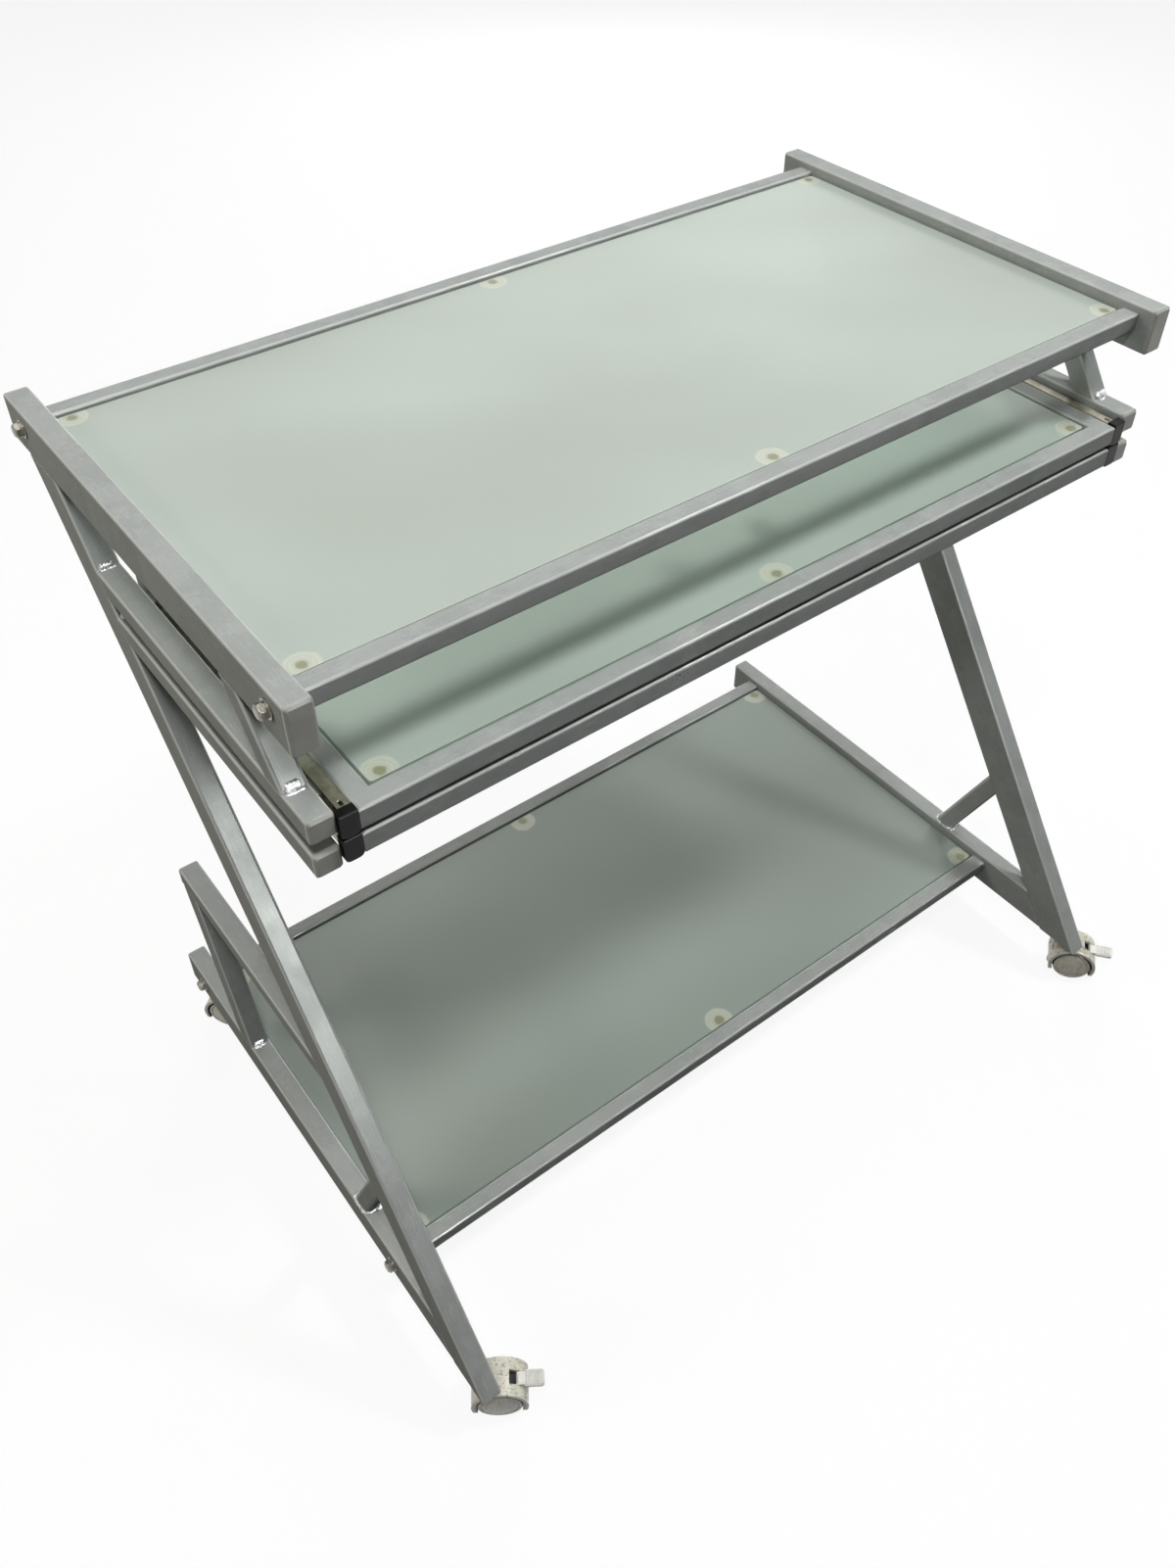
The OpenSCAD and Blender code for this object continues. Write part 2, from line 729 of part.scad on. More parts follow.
stem_places = [
    [-side_x, front_stem_y], [side_x, front_stem_y], [-side_x, rear_stem_y], [side_x, rear_stem_y]];
turns = [turn_front_left, turn_front_right, turn_rear_left, turn_rear_right];

module at_castor(i) {
    translate([stem_places[i][0], stem_places[i][1], 0]) rotate([0, 0, turns[i]]) children();
}

module across(r, w) {
    rotate([90, 0, 0]) cylinder(r = r, h = w, center = true);
}

module hood_shell() {
    difference() {
        across(hood_r, hood_w);
        across(pocket_r, hood_w + 1);
        translate([-big / 2, -big / 2, -big - hood_drop]) cube([big, big, big]);
    }
}

module hood_web() {
    intersection() {
        across(hood_r - hood_wall / 2, web_t);
        union() {
            translate([-big / 2, -big / 2, -hood_drop]) cube([big, big, big]);
            across(wheel_r - web_rise, web_t + 1);
        }
    }
}

module brake_notch() {
    translate([trail + notch_x, -notch_w / 2, pivot_z - lever_hub_r - lever_gap])
        cube([hood_r, notch_w, hood_r]);
}

module castor_hood(i, brake) {
    color(castor_beige) at_castor(i) {
        difference() {
            union() {
                translate([trail, 0, wheel_r]) {
                    hood_shell();
                    hood_web();
                }
                translate([0, 0, boss_low_z]) cylinder(r = boss_r, h = boss_top - boss_low_z);
            }
            translate([0, 0, stem_low_z]) cylinder(d = stem_d + 2 * shaft_gap, h = big);
            translate([trail, 0, wheel_r]) across(axle_d / 2 + shaft_gap, web_t + 2);
            if (brake) brake_notch();
        }
        if (brake) translate([pivot_x, 0, pivot_z]) across(pivot_d / 2, notch_w + 3);
    }
}

// Half outline of one wheel, from its inner face to its domed outer face
module wheel_outline(inner, face) {
    round_r = 1.5;
    disc_r = wheel_r - tread_t;
    dome_r = (disc_r * disc_r + wheel_dome * wheel_dome) / (2 * wheel_dome);
    difference() {
        union() {
            translate([0, inner]) square([wheel_r - round_r, wheel_w]);
            translate([0, inner + round_r]) square([wheel_r, wheel_w - 2 * round_r]);
            for (y = [inner + round_r, face - round_r]) translate([wheel_r - round_r, y]) circle(round_r);
            intersection() {
                translate([0, face + wheel_dome - dome_r]) circle(dome_r, $fn = 240);
                translate([0, inner]) square([disc_r, wheel_w + wheel_dome]);
            }
        }
        translate([-big, -big]) square([big, 2 * big]);
        translate([disc_r, face - groove]) square([groove, 2 * groove]);
    }
}

module castor_wheels(i) {
    inner = web_t / 2 + wheel_side_gap;
    color(castor_beige) at_castor(i) translate([trail, 0, wheel_r]) {
        across(axle_d / 2, 2 * inner + 2);
        for (s = [0, 1]) mirror([0, s, 0]) rotate([-90, 0, 0])
            rotate_extrude() wheel_outline(inner, inner + wheel_w);
    }
}

// Brake lever: a hub in the hood's notch, a neck, and a wider tread with ribs across it
module brake_lever(i) {
    straight = lever_len - tread_r;
    color(castor_beige) at_castor(i) translate([pivot_x, 0, pivot_z]) difference() {
        union() {
            across(lever_hub_r, lever_hub_w);
            translate([0, -lever_hub_w / 2, 0]) cube([neck_len + 1, lever_hub_w, lever_t]);
            translate([neck_len, -lever_w / 2, 0]) cube([straight - neck_len, lever_w, lever_t]);
            translate([straight, tread_r - lever_w / 2, 0]) cube([tread_r, lever_w - 2 * tread_r, lever_t]);
            for (s = [-1, 1])
                translate([straight, s * (lever_w / 2 - tread_r), 0]) cylinder(r = tread_r, h = lever_t);
            for (k = [0 : lever_ribs - 1])
                translate([neck_len + 1 + (lever_len - neck_len - 2) * k / lever_ribs, 1 - lever_w / 2,
                    lever_t - eps]) cube([rib_t, lever_w - 2, rib_h]);
        }
        across(pivot_d / 2 + shaft_gap, lever_hub_w + 2);
    }
}

// Stem: a pin that turns in the hood's boss, a collar under the frame and a gripped end
module castor_stems() {
    color(zinc) for (place = stem_places) translate([place[0], place[1], 0]) {
        translate([0, 0, stem_low_z + stem_slack])
            cylinder(d = stem_d, h = stem_top_z - stem_low_z - stem_slack);
        translate([0, 0, boss_top + stem_slack])
            cylinder(d = stem_d + 2 * collar_wall, h = castor_gap - stem_slack);
    }
}

// Socket: a plastic block inside the tube that grips the stem
module stem_sockets() {
    block_top = stem_top_z + 2;
    bore = stem_d + 2 * shaft_gap;
    color(cap_grey) {
        for (i = [0, 1]) difference() {
            translate([stem_places[i][0], 0, 0])
                leaning(leg_rake, leg_rear_y(foot_z) - leg_run / 2, foot_z, foot_z, block_top)
                    rounded_rect(block_w, block_d, corner_r - wall);
            translate([stem_places[i][0], front_stem_y, foot_z - 1]) cylinder(d = bore, h = stem_grip + 1.5);
        }
        for (i = [2, 3]) translate([stem_places[i][0], rear_stem_y, 0]) difference() {
            translate([-block_w / 2, -block_w / 2, foot_z + wall])
                cube([block_w, block_w, block_top - foot_z - wall]);
            translate([0, 0, foot_z]) cylinder(d = bore, h = stem_grip + 0.5);
        }
    }
}

top_rail(-1);  // left_top_rail
top_rail(1);  // right_top_rail
leg(-1);  // left_leg
leg(1);  // right_leg
slide_rail(-1, upper_slide_z, upper_slide_mid);  // left_upper_slide_rail
slide_rail(1, upper_slide_z, upper_slide_mid);  // right_upper_slide_rail
slide_rail(-1, lower_slide_z, lower_slide_mid);  // left_lower_slide_rail
slide_rail(1, lower_slide_z, lower_slide_mid);  // right_lower_slide_rail
front_strut(-1);  // left_front_strut
front_strut(1);  // right_front_strut
bottom_rail(-1);  // left_bottom_rail
bottom_rail(1);  // right_bottom_rail
foot_brace(-1);  // left_foot_brace
foot_brace(1);  // right_foot_brace
left_side_bar();
left_side_strut();
top_rail_caps();
bottom_rail_caps();
square_tube_caps();
crossbar(top_front_bar_y, top_bar_z, 1);  // top_front_bar
crossbar(top_rear_bar_y, top_bar_z, -1);  // top_rear_bar
crossbar(shelf_front_bar_y, shelf_bar_z, 1);  // shelf_front_bar
crossbar(shelf_rear_bar_y, shelf_bar_z, -1);  // shelf_rear_bar
bar_inserts();
frame_bolts();
bolt_washers();
glass_panel(inner_x, top_front_bar_y + bar, top_rear_bar_y, top_bar_z - glass_drop);  // top_glass
glass_panel(inner_x, shelf_front_bar_y + bar, shelf_rear_bar_y, shelf_bar_z - glass_drop);  // shelf_glass
fixed_pads(top_front_bar_y, top_rear_bar_y, top_bar_z);  // top_glass_pads
fixed_pads(shelf_front_bar_y, shelf_rear_bar_y, shelf_bar_z);  // shelf_glass_pads
tray_cross_tube(upper_tray_z, true);  // upper_tray_front_tube
tray_cross_tube(upper_tray_z, false);  // upper_tray_rear_tube
tray_side_tubes(upper_tray_z);  // upper_tray_side_tubes
tray_glass(upper_tray_z);  // upper_tray_glass
tray_pads(upper_tray_z);  // upper_tray_pads
tray_cross_tube(lower_tray_z, true);  // lower_tray_front_tube
tray_cross_tube(lower_tray_z, false);  // lower_tray_rear_tube
tray_side_tubes(lower_tray_z);  // lower_tray_side_tubes
tray_glass(lower_tray_z);  // lower_tray_glass
tray_pads(lower_tray_z);  // lower_tray_pads
slide_channels(upper_slide_mid);  // upper_slide_channels
slide_channels(lower_slide_mid);  // lower_slide_channels
slide_runners(upper_slide_mid);  // upper_slide_runners
slide_runners(lower_slide_mid);  // lower_slide_runners
ball_cages(upper_slide_mid);  // upper_ball_cages
ball_cages(lower_slide_mid);  // lower_ball_cages
slide_bumpers(upper_slide_mid);  // upper_slide_bumpers
slide_bumpers(lower_slide_mid);  // lower_slide_bumpers
castor_stems();
stem_sockets();
castor_hood(0, true);  // front_left_castor_hood
castor_hood(1, true);  // front_right_castor_hood
castor_hood(2, false);  // rear_left_castor_hood
castor_hood(3, false);  // rear_right_castor_hood
castor_wheels(0);  // front_left_castor_wheels
castor_wheels(1);  // front_right_castor_wheels
castor_wheels(2);  // rear_left_castor_wheels
castor_wheels(3);  // rear_right_castor_wheels
brake_lever(0);  // left_brake_lever
brake_lever(1);  // right_brake_lever
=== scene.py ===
"""Dresses the packed computer desk: painted steel, frosted glass, slides, castors and a plain studio.

It is laid out as an add-on. Run as a script, it calls its own operators in order.
"""
import json
import math
import random

import bmesh
import bpy
from bpy.props import FloatProperty, FloatVectorProperty, IntProperty, PointerProperty
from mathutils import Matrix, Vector

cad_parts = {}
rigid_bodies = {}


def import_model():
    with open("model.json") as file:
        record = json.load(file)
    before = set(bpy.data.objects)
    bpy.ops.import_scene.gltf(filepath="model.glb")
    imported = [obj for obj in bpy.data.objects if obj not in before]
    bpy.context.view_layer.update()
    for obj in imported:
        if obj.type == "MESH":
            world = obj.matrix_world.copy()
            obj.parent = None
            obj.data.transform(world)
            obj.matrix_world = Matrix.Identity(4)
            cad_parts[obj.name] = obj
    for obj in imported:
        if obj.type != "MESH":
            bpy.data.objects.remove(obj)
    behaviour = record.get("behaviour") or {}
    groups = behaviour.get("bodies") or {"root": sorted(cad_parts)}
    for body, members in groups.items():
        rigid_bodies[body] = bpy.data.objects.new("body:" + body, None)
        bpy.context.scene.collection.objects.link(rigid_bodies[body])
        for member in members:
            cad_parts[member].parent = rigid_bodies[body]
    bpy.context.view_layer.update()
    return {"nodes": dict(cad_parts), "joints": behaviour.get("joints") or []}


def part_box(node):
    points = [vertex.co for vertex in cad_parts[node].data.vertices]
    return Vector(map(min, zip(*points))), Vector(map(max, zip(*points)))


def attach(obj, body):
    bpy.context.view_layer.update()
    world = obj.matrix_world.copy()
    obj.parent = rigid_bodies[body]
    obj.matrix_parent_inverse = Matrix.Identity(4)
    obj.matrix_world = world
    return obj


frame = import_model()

bl_info = {
    "name": "Desk finishes",
    "version": (1, 0, 0),
    "blender": (4, 5, 0),
    "location": "3D View > Sidebar > Desk",
    "description": "Paint, glass, slides, castors and studio for the computer desk",
    "category": "Material",
}

NODES = frame["nodes"]
TRAYS = ("upper", "lower")
CASTORS = ("front_left", "front_right", "rear_left", "rear_right")

# Angles in radians and lengths in metres, as the solids have them
LEG_RAKE = math.radians(36.3)
BRACE_RAKE = -0.46
SIDE_STRUT_RAKE = 0.24
STRUT_TUBE = 0.019
BRACE_DEPTH = 0.011
BRACE_CORNER = 0.005
WHEEL_RADIUS = 0.0200
POCKET_RADIUS = 0.0215

# Radii of the marks a pad leaves: outer and inner edge of its halo and its core, and its rings
PAD_HALO = (0.0215, 0.017)
PAD_CORE = (0.0108, 0.006)
PAD_RINGS = (0.0148, 0.0112)


def tone(red, green, blue):
    """A colour as it looks on screen, 0 to 255 each, in Blender's linear values."""
    levels = [level / 255 for level in (red, green, blue)]
    return tuple(v / 12.92 if v <= 0.04045 else ((v + 0.055) / 1.055) ** 2.4 for v in levels)


def dim(colour, share):
    """A colour made darker, or paler where share is over 1."""
    return tuple(part * share for part in colour)


# Sizes and colours


def colour_of(name, description, seen):
    return FloatVectorProperty(
        name=name, description=description, subtype="COLOR", size=3, min=0, max=1, default=tone(*seen)
    )


def share_of(name, description, default):
    return FloatProperty(
        name=name, description=description, subtype="FACTOR", min=0, max=1, default=default
    )


def length_of(name, description, default):
    return FloatProperty(
        name=name, description=description, subtype="DISTANCE", unit="LENGTH", min=0, default=default
    )


def power_of(name, description, default):
    return FloatProperty(name=name, description=description, unit="POWER", min=0, default=default)


class SteelPaint(bpy.types.PropertyGroup):
    """Silver grey paint on the welded tubes."""

    colour: colour_of("Paint", "Colour of the sound paint", (150, 154, 151))
    shade: colour_of("Shade", "Darker tone that the paint clouds into", (141, 145, 142))
    # The scuff tone also paints a highlight along the tubes' rounded edges
    scuff_and_highlight: colour_of("Scuff", "Pale marks left by rubbing", (212, 213, 210))
    chip: colour_of("Chip", "Dark metal where the paint is gone", (46, 47, 50))
    metal: share_of("Metal", "How metallic the paint is", 0.06)
    gloss: share_of("Roughness", "Roughness of the sound paint", 0.21)
    wear: share_of("Wear", "How much the paint is scuffed and chipped", 0.3)


class GlassLook(bpy.types.PropertyGroup):
    """Frosted glass, polished above and etched below."""

    frosted: colour_of("Frosted", "Body of the top glass", (189, 199, 190))
    # The trays' glass is the top's glass a touch greener: a painted tint of the light that reaches it
    # through the top glass
    tray: colour_of("Trays", "Body of the tray glass", (186, 199, 190))
    # The shelf's glass is darker than the top's: painted shade, for the shade under the desk
    shelf: colour_of("Shelf", "Body of the shelf glass", (158, 169, 161))
    edge: colour_of("Edge", "Polished edge of every panel", (176, 196, 183))
    pad: colour_of("Pad", "Silicone pads under the glass", (216, 219, 204))
    pad_core: colour_of("Pad core", "Hollow middle of a pad", (146, 148, 116))
    clear: share_of("Clear", "Share of light that passes through", 0.2)
    shadow: share_of("Shadow", "How dark a shadow the glass throws", 0.18)


class PlasticLook(bpy.types.PropertyGroup):
    """Moulded plastic of the caps, bumpers and castors."""

    cap: colour_of("Cap", "Tube end caps", (156, 158, 151))
    castor: colour_of("Castor", "Castor hoods and wheels", (222, 219, 202))
    lever: colour_of("Lever", "Brake levers", (240, 239, 232))
    # This colour serves the castors' real dirt streaks, and also the painted shade in the hood's pocket and
    # round the wheel's rim
    grime_and_shade: colour_of("Grime", "Treads, hollows and streaks on the castors", (30, 29, 26))
    bumper: colour_of("Bumper", "Slide bumpers", (9, 9, 9))
    zinc: colour_of("Zinc", "Plating of the stems and slides", (190, 187, 172))


class WeldLook(bpy.types.PropertyGroup):
    """Weld beads in the corners of the side frames."""

    bead: length_of("Bead", "Half the width of a weld bead", 0.0029)
    pitch: length_of("Ripple", "Distance from one ripple to the next", 0.0042)
    seed: IntProperty(name="Seed", description="Picks another set of ripples", default=7)


class StudioLook(bpy.types.PropertyGroup):
    """Floor, lamps and world."""

    floor: colour_of("Floor", "Floor colour where the floor is seen", (254, 254, 254))
    glow: share_of("Glow", "Share of the floor's paleness that shadows can't darken", 0.91)
    reach: length_of("Floor size", "Side of the square floor", 16.0)
    ceiling: power_of("Ceiling lamps", "Power of each of the two lamps overhead", 25.5)
    overhead: power_of("Overhead lamp", "Power of the wide soft lamp overhead", 20.0)
    window: power_of("Window lamp", "Power of the lamp in front, seen as a glare alone", 64.0)
    behind: power_of("Lamp behind", "Power of the lamp behind, on the right", 52.0)
    left: power_of("Left lamp", "Power of the warm lamp on the left", 19.0)
    fill: share_of("Fill", "Light of the world on the object", 0.045)


LOOKS = {
    "desk_paint": SteelPaint,
    "desk_glass": GlassLook,
    "desk_plastic": PlasticLook,
    "desk_welds": WeldLook,
    "desk_studio": StudioLook,
}


# Node tools


def give(tree, socket, value):
    """Links an output to a socket, or sets the socket to a plain value."""
    if isinstance(value, bpy.types.NodeSocket):
        tree.links.new(value, socket)
    elif socket.type == "RGBA" and len(value) == 3:
        socket.default_value = (*value, 1)
    else:
        socket.default_value = value


def put(tree, kind, inputs=(), **settings):
    """Adds a shader node. inputs maps a socket to a value, or to the output that feeds it."""
    node = tree.nodes.new("ShaderNode" + kind)
    for name, value in settings.items():
        setattr(node, name, value)
    for name, value in dict(inputs).items():
        give(tree, node.inputs[name], value)
    return node


def maths(tree, operation, *values, clamp=False):
    return put(tree, "Math", enumerate(values), operation=operation, use_clamp=clamp).outputs[0]


def vector_maths(tree, operation, *values):
    """The outputs of a vector sum: Vector, or Value where the result is one number."""
    return put(tree, "VectorMath", enumerate(values), operation=operation).outputs


def blend(tree, factor, first, second):
    """Mixes two colours."""
    return put(tree, "Mix", {0: factor, 6: first, 7: second}, data_type="RGBA").outputs[2]


def ramp(tree, value, low, high, to_low=0.0, to_high=1.0):
    """Maps low..high to to_low..to_high with soft ends."""
    inputs = {"Value": value, "From Min": low, "From Max": high, "To Min": to_low, "To Max": to_high}
    return put(tree, "MapRange", inputs, interpolation_type="SMOOTHSTEP").outputs[0]


def noise(tree, vector, scale, detail=3.0, roughness=0.5):
    inputs = {"Vector": vector, "Scale": scale, "Detail": detail, "Roughness": roughness}
    return put(tree, "TexNoise", inputs).outputs["Fac"]


def stretch(tree, vector, scale, turn=(0.0, 0.0, 0.0)):
    """Turns a vector, then scales it along its own axes."""
    inputs = {"Vector": vector, "Rotation": turn}
    turned = put(tree, "VectorRotate", inputs, rotation_type="EULER_XYZ").outputs[0]
    return vector_maths(tree, "MULTIPLY", turned, scale)["Vector"]


def shared(name, inputs, outputs, fill):
    """Builds a node group once. inputs maps a name to its socket type and default."""
    if name in bpy.data.node_groups:
        return bpy.data.node_groups[name]
    tree = bpy.data.node_groups.new(name, "ShaderNodeTree")
    for label, (kind, default) in inputs.items():
        socket = tree.interface.new_socket(label, in_out="INPUT", socket_type="NodeSocket" + kind)
        socket.default_value = default
    for label, kind in outputs.items():
        tree.interface.new_socket(label, in_out="OUTPUT", socket_type="NodeSocket" + kind)
    given = tree.nodes.new("NodeGroupInput").outputs
    result = tree.nodes.new("NodeGroupOutput").inputs
    for label, value in fill(tree, given).items():
        tree.links.new(value, result[label])
    return tree


def feed(tree, node, **values):
    """Sets or links a node's sockets. An underscore stands for a space in a socket's name."""
    for label, value in values.items():
        give(tree, node.inputs[label.replace("_", " ")], value)


def use(tree, group, **values):
    """Adds a node group and returns its outputs."""
    node = tree.nodes.new("ShaderNodeGroup")
    node.node_tree = group
    feed(tree, node, **values)
    return node.outputs


# Shared effects


def clouding():
    """Uneven tone of a sprayed or moulded surface, and its fine grain."""

    def fill(tree, given):
        place = put(tree, "TexCoord").outputs["Object"]
        wide = noise(tree, place, given["Patch"], 4.0, 0.6)
        fine = noise(tree, place, given["Grain"], 2.0, 0.7)
        shade = maths(tree, "MULTIPLY_ADD", fine, given["Grain share"], ramp(tree, wide, 0.32, 0.68))
        return {"Shade": shade, "Grain": fine}

    inputs = {"Patch": ("Float", 9.0), "Grain": ("Float", 1800.0), "Grain share": ("Float", 0.25)}
    return shared("Clouding", inputs, {"Shade": "Float", "Grain": "Float"}, fill)


def edge_band():
    """The rounded long edges of a square tube, whose flat sides lean by Tilt about X."""

    def fill(tree, given):
        normal = put(tree, "TexCoord").outputs["Normal"]
        inputs = {"Vector": normal, "Angle": given["Tilt"]}
        upright = put(tree, "VectorRotate", inputs, rotation_type="X_AXIS").outputs[0]
        parts = put(tree, "SeparateXYZ", {0: upright}).outputs
        sizes = [maths(tree, "ABSOLUTE", part) for part in parts]
        most = maths(tree, "MAXIMUM", maths(tree, "MAXIMUM", sizes[0], sizes[1]), sizes[2])
        return {"Mask": ramp(tree, most, 0.985, 0.86)}

    return shared("Edge Band", {"Tilt": ("Float", 0.0)}, {"Mask": "Float"}, fill)


def worn_edge():
    """Edges of a moulded or machined piece, found from how far its normal turns nearby."""

    def fill(tree, given):
        rounded = put(tree, "Bevel", {"Radius": given["Width"]}, samples=6).outputs[0]
        flat = put(tree, "NewGeometry").outputs["Normal"]
        along = vector_maths(tree, "DOT_PRODUCT", rounded, flat)["Value"]
        place = put(tree, "TexCoord").outputs["Object"]
        patchy = ramp(tree, noise(tree, place, 140.0, 4.0, 0.65), 0.35, 0.65, 0.35, 1.0)
        return {"Mask": maths(tree, "MULTIPLY", ramp(tree, along, 0.985, 0.8), patchy), "Normal": rounded}

    return shared("Worn Edge", {"Width": ("Float", 0.0008)}, {"Mask": "Float", "Normal": "Vector"}, fill)


def scuffing():
    """Long fine scratches and rubbed patches that follow Stretch, after a turn."""

    def fill(tree, given):
        place = put(tree, "TexCoord").outputs["Object"]
        long = stretch(tree, place, given["Stretch"], given["Turn"])
        lines = ramp(tree, noise(tree, long, 1.0, 2.0, 0.6), 0.56, 0.7)
        cross = stretch(tree, place, given["Stretch"], (0.5, 0.3, 0.7))
        stray = ramp(tree, noise(tree, cross, 0.6, 1.0, 0.5), 0.68, 0.72)
        patch = ramp(tree, noise(tree, place, given["Patch"], 5.0, 0.7), 0.5, 0.68)
        rubbed = maths(tree, "MULTIPLY", patch, maths(tree, "MULTIPLY_ADD", lines, 0.85, 0.15))
        mask = maths(tree, "MAXIMUM", rubbed, maths(tree, "MULTIPLY", stray, patch))
        return {"Mask": maths(tree, "MULTIPLY", mask, given["Amount"]), "Lines": lines}

    inputs = {
        "Stretch": ("Vector", (60.0, 1500.0, 1500.0)),
        "Turn": ("Vector", (0.0, 0.0, 0.0)),
        "Patch": ("Float", 22.0),
        "Amount": ("Float", 0.5),
    }
    return shared("Scuffing", inputs, {"Mask": "Float", "Lines": "Float"}, fill)


def chipping():
    """Small dark chips and specks in a few places."""

    def fill(tree, given):
        place = put(tree, "TexCoord").outputs["Object"]
        shift = put(tree, "TexNoise", {"Vector": place, "Scale": 700.0, "Detail": 2.0}).outputs["Color"]
        moved = vector_maths(tree, "MULTIPLY_ADD", shift, (0.0016,) * 3, place)["Vector"]
        spots = put(tree, "TexVoronoi", {"Vector": moved, "Scale": given["Spread"]}).outputs["Distance"]
        where = ramp(tree, noise(tree, place, 17.0, 3.0, 0.7), given["Rarity"], 0.8, 0.0, 0.24)
        return {"Mask": maths(tree, "LESS_THAN", spots, where)}

    inputs = {"Spread": ("Float", 330.0), "Rarity": ("Float", 0.62)}
    return shared("Chipping", inputs, {"Mask": "Float"}, fill)


def settled_dust():
    """Pale dust on faces that look up."""

    def fill(tree, given):
        upward = put(tree, "SeparateXYZ", {0: put(tree, "NewGeometry").outputs["Normal"]}).outputs[2]
        place = put(tree, "TexCoord").outputs["Object"]
        patchy = ramp(tree, noise(tree, place, 30.0, 6.0, 0.7), 0.35, 0.75)
        amount = maths(tree, "MULTIPLY", patchy, given["Amount"])
        return {"Mask": maths(tree, "MULTIPLY", ramp(tree, upward, 0.3, 0.95), amount)}

    return shared("Settled Dust", {"Amount": ("Float", 0.15)}, {"Mask": "Float"}, fill)


def off_axle():
    """Distance from a wheel's axle, which runs through Centre along Axis."""

    def fill(tree, given):
        place = put(tree, "TexCoord").outputs["Object"]
        out = vector_maths(tree, "SUBTRACT", place, given["Centre"])["Vector"]
        across = vector_maths(tree, "CROSS_PRODUCT", out, given["Axis"])["Vector"]
        return {"Distance": vector_maths(tree, "LENGTH", across)["Value"]}

    inputs = {"Centre": ("Vector", (0.0, 0.0, 0.0)), "Axis": ("Vector", (1.0, 0.0, 0.0))}
    return shared("Off Axle", inputs, {"Distance": "Float"}, fill)


# Materials


def new_material(name):
    """An empty material with its Principled shader."""
    material = bpy.data.materials.new(name)
    material.use_nodes = True
    tree = material.node_tree
    tree.nodes.clear()
    shader = put(tree, "BsdfPrincipled")
    tree.links.new(shader.outputs[0], put(tree, "OutputMaterial").inputs["Surface"])
    return material, tree, shader


def rough_skin(tree, height, distance, strength, normal=None):
    """A bump, whose distance is in metres."""
    inputs = {"Height": height, "Distance": distance, "Strength": strength}
    if normal is not None:
        inputs["Normal"] = normal
    return put(tree, "Bump", inputs).outputs[0]


def painted_steel(name, stretch_by, tilt=0.0, worn=1.0):
    """Silver grey paint whose fine marks follow the tube.

    The specular tint darkens what the paint's metal reflects at a low angle.
    """
    look = bpy.context.scene.desk_paint
    material, tree, shader = new_material(name)
    cloud = use(tree, clouding(), Patch=16.0, Grain=650.0, Grain_share=0.9)
    edge_highlight_band = use(tree, edge_band(), Tilt=tilt)["Mask"]
    wear = min(1.0, look.wear * worn)
    marks = use(tree, scuffing(), Stretch=stretch_by, Turn=(tilt, 0.0, 0.0), Amount=wear)
    chips = use(tree, chipping(), Rarity=0.7 - 0.05 * worn)["Mask"]
    dust = use(tree, settled_dust(), Amount=0.1)["Mask"]
    colour = blend(tree, cloud["Shade"], tuple(look.shade), tuple(look.colour))
    lines = maths(tree, "MULTIPLY", marks["Lines"], 0.16)
    rubbed = maths(tree, "MULTIPLY", marks["Mask"], 0.8)
    colour = blend(tree, maths(tree, "MAXIMUM", lines, rubbed), colour, tuple(look.scuff_and_highlight))
    # The rounded edges take the pale scuff tone all round: a painted highlight along them
    colour = blend(tree, maths(tree, "MULTIPLY", edge_highlight_band, 0.45), colour, tuple(look.scuff_and_highlight))
    colour = blend(tree, dust, colour, tone(196, 192, 186))
    colour = blend(tree, chips, colour, tuple(look.chip))
    rough = maths(tree, "MULTIPLY_ADD", cloud["Shade"], 0.07, look.gloss)
    rough = maths(tree, "MULTIPLY_ADD", marks["Mask"], 0.2, rough)
    rough = maths(tree, "MULTIPLY_ADD", edge_highlight_band, -0.14, rough, clamp=True)
    height = maths(tree, "MULTIPLY_ADD", marks["Mask"], -0.35, maths(tree, "MULTIPLY", cloud["Grain"], 0.5))
    height = maths(tree, "MULTIPLY_ADD", chips, -1.0, height)
    feed(
        tree, shader, Base_Color=colour, Roughness=rough, Metallic=look.metal,
        Specular_IOR_Level=0.0, Specular_Tint=tone(84, 80, 72),
        Normal=rough_skin(tree, height, 0.00006, 0.6),
    )
    return material


def weld_metal():
    """Bare bright metal that cooled in ripples."""
    material, tree, shader = new_material("weld_metal")
    cloud = use(tree, clouding(), Patch=260.0, Grain=2600.0, Grain_share=0.3)
    colour = blend(tree, cloud["Shade"], tone(140, 142, 145), tone(212, 213, 214))
    feed(
        tree, shader, Base_Color=colour, Metallic=0.7, Coat_Weight=0.4, Coat_Roughness=0.08,
        Roughness=maths(tree, "MULTIPLY_ADD", cloud["Shade"], 0.14, 0.16),
        Normal=rough_skin(tree, cloud["Grain"], 0.00015, 0.5),
    )
    return material


def plated_steel(name, colour, dark, rough, lines):
    """Zinc plate with faint drawing lines."""
    material, tree, shader = new_material(name)
    cloud = use(tree, clouding(), Patch=60.0, Grain=2200.0, Grain_share=0.4)
    marks = use(tree, scuffing(), Stretch=lines, Patch=90.0, Amount=0.6)
    edge = use(tree, worn_edge(), Width=0.0004)
    tinted = blend(tree, cloud["Shade"], dark, colour)
    tinted = blend(tree, maths(tree, "MULTIPLY", marks["Lines"], 0.25), tinted, tone(225, 224, 218))
    tinted = blend(tree, maths(tree, "MULTIPLY", edge["Mask"], 0.5), tinted, tone(232, 231, 226))
    height = maths(tree, "MULTIPLY_ADD", marks["Lines"], 0.5, cloud["Grain"])
    feed(
        tree, shader, Base_Color=tinted, Metallic=0.85, Coat_Weight=0.1, Coat_Roughness=0.2,
        Roughness=maths(tree, "MULTIPLY_ADD", marks["Mask"], 0.2, rough),
        Normal=rough_skin(tree, height, 0.00004, 0.5, edge["Normal"]),
    )
    return material


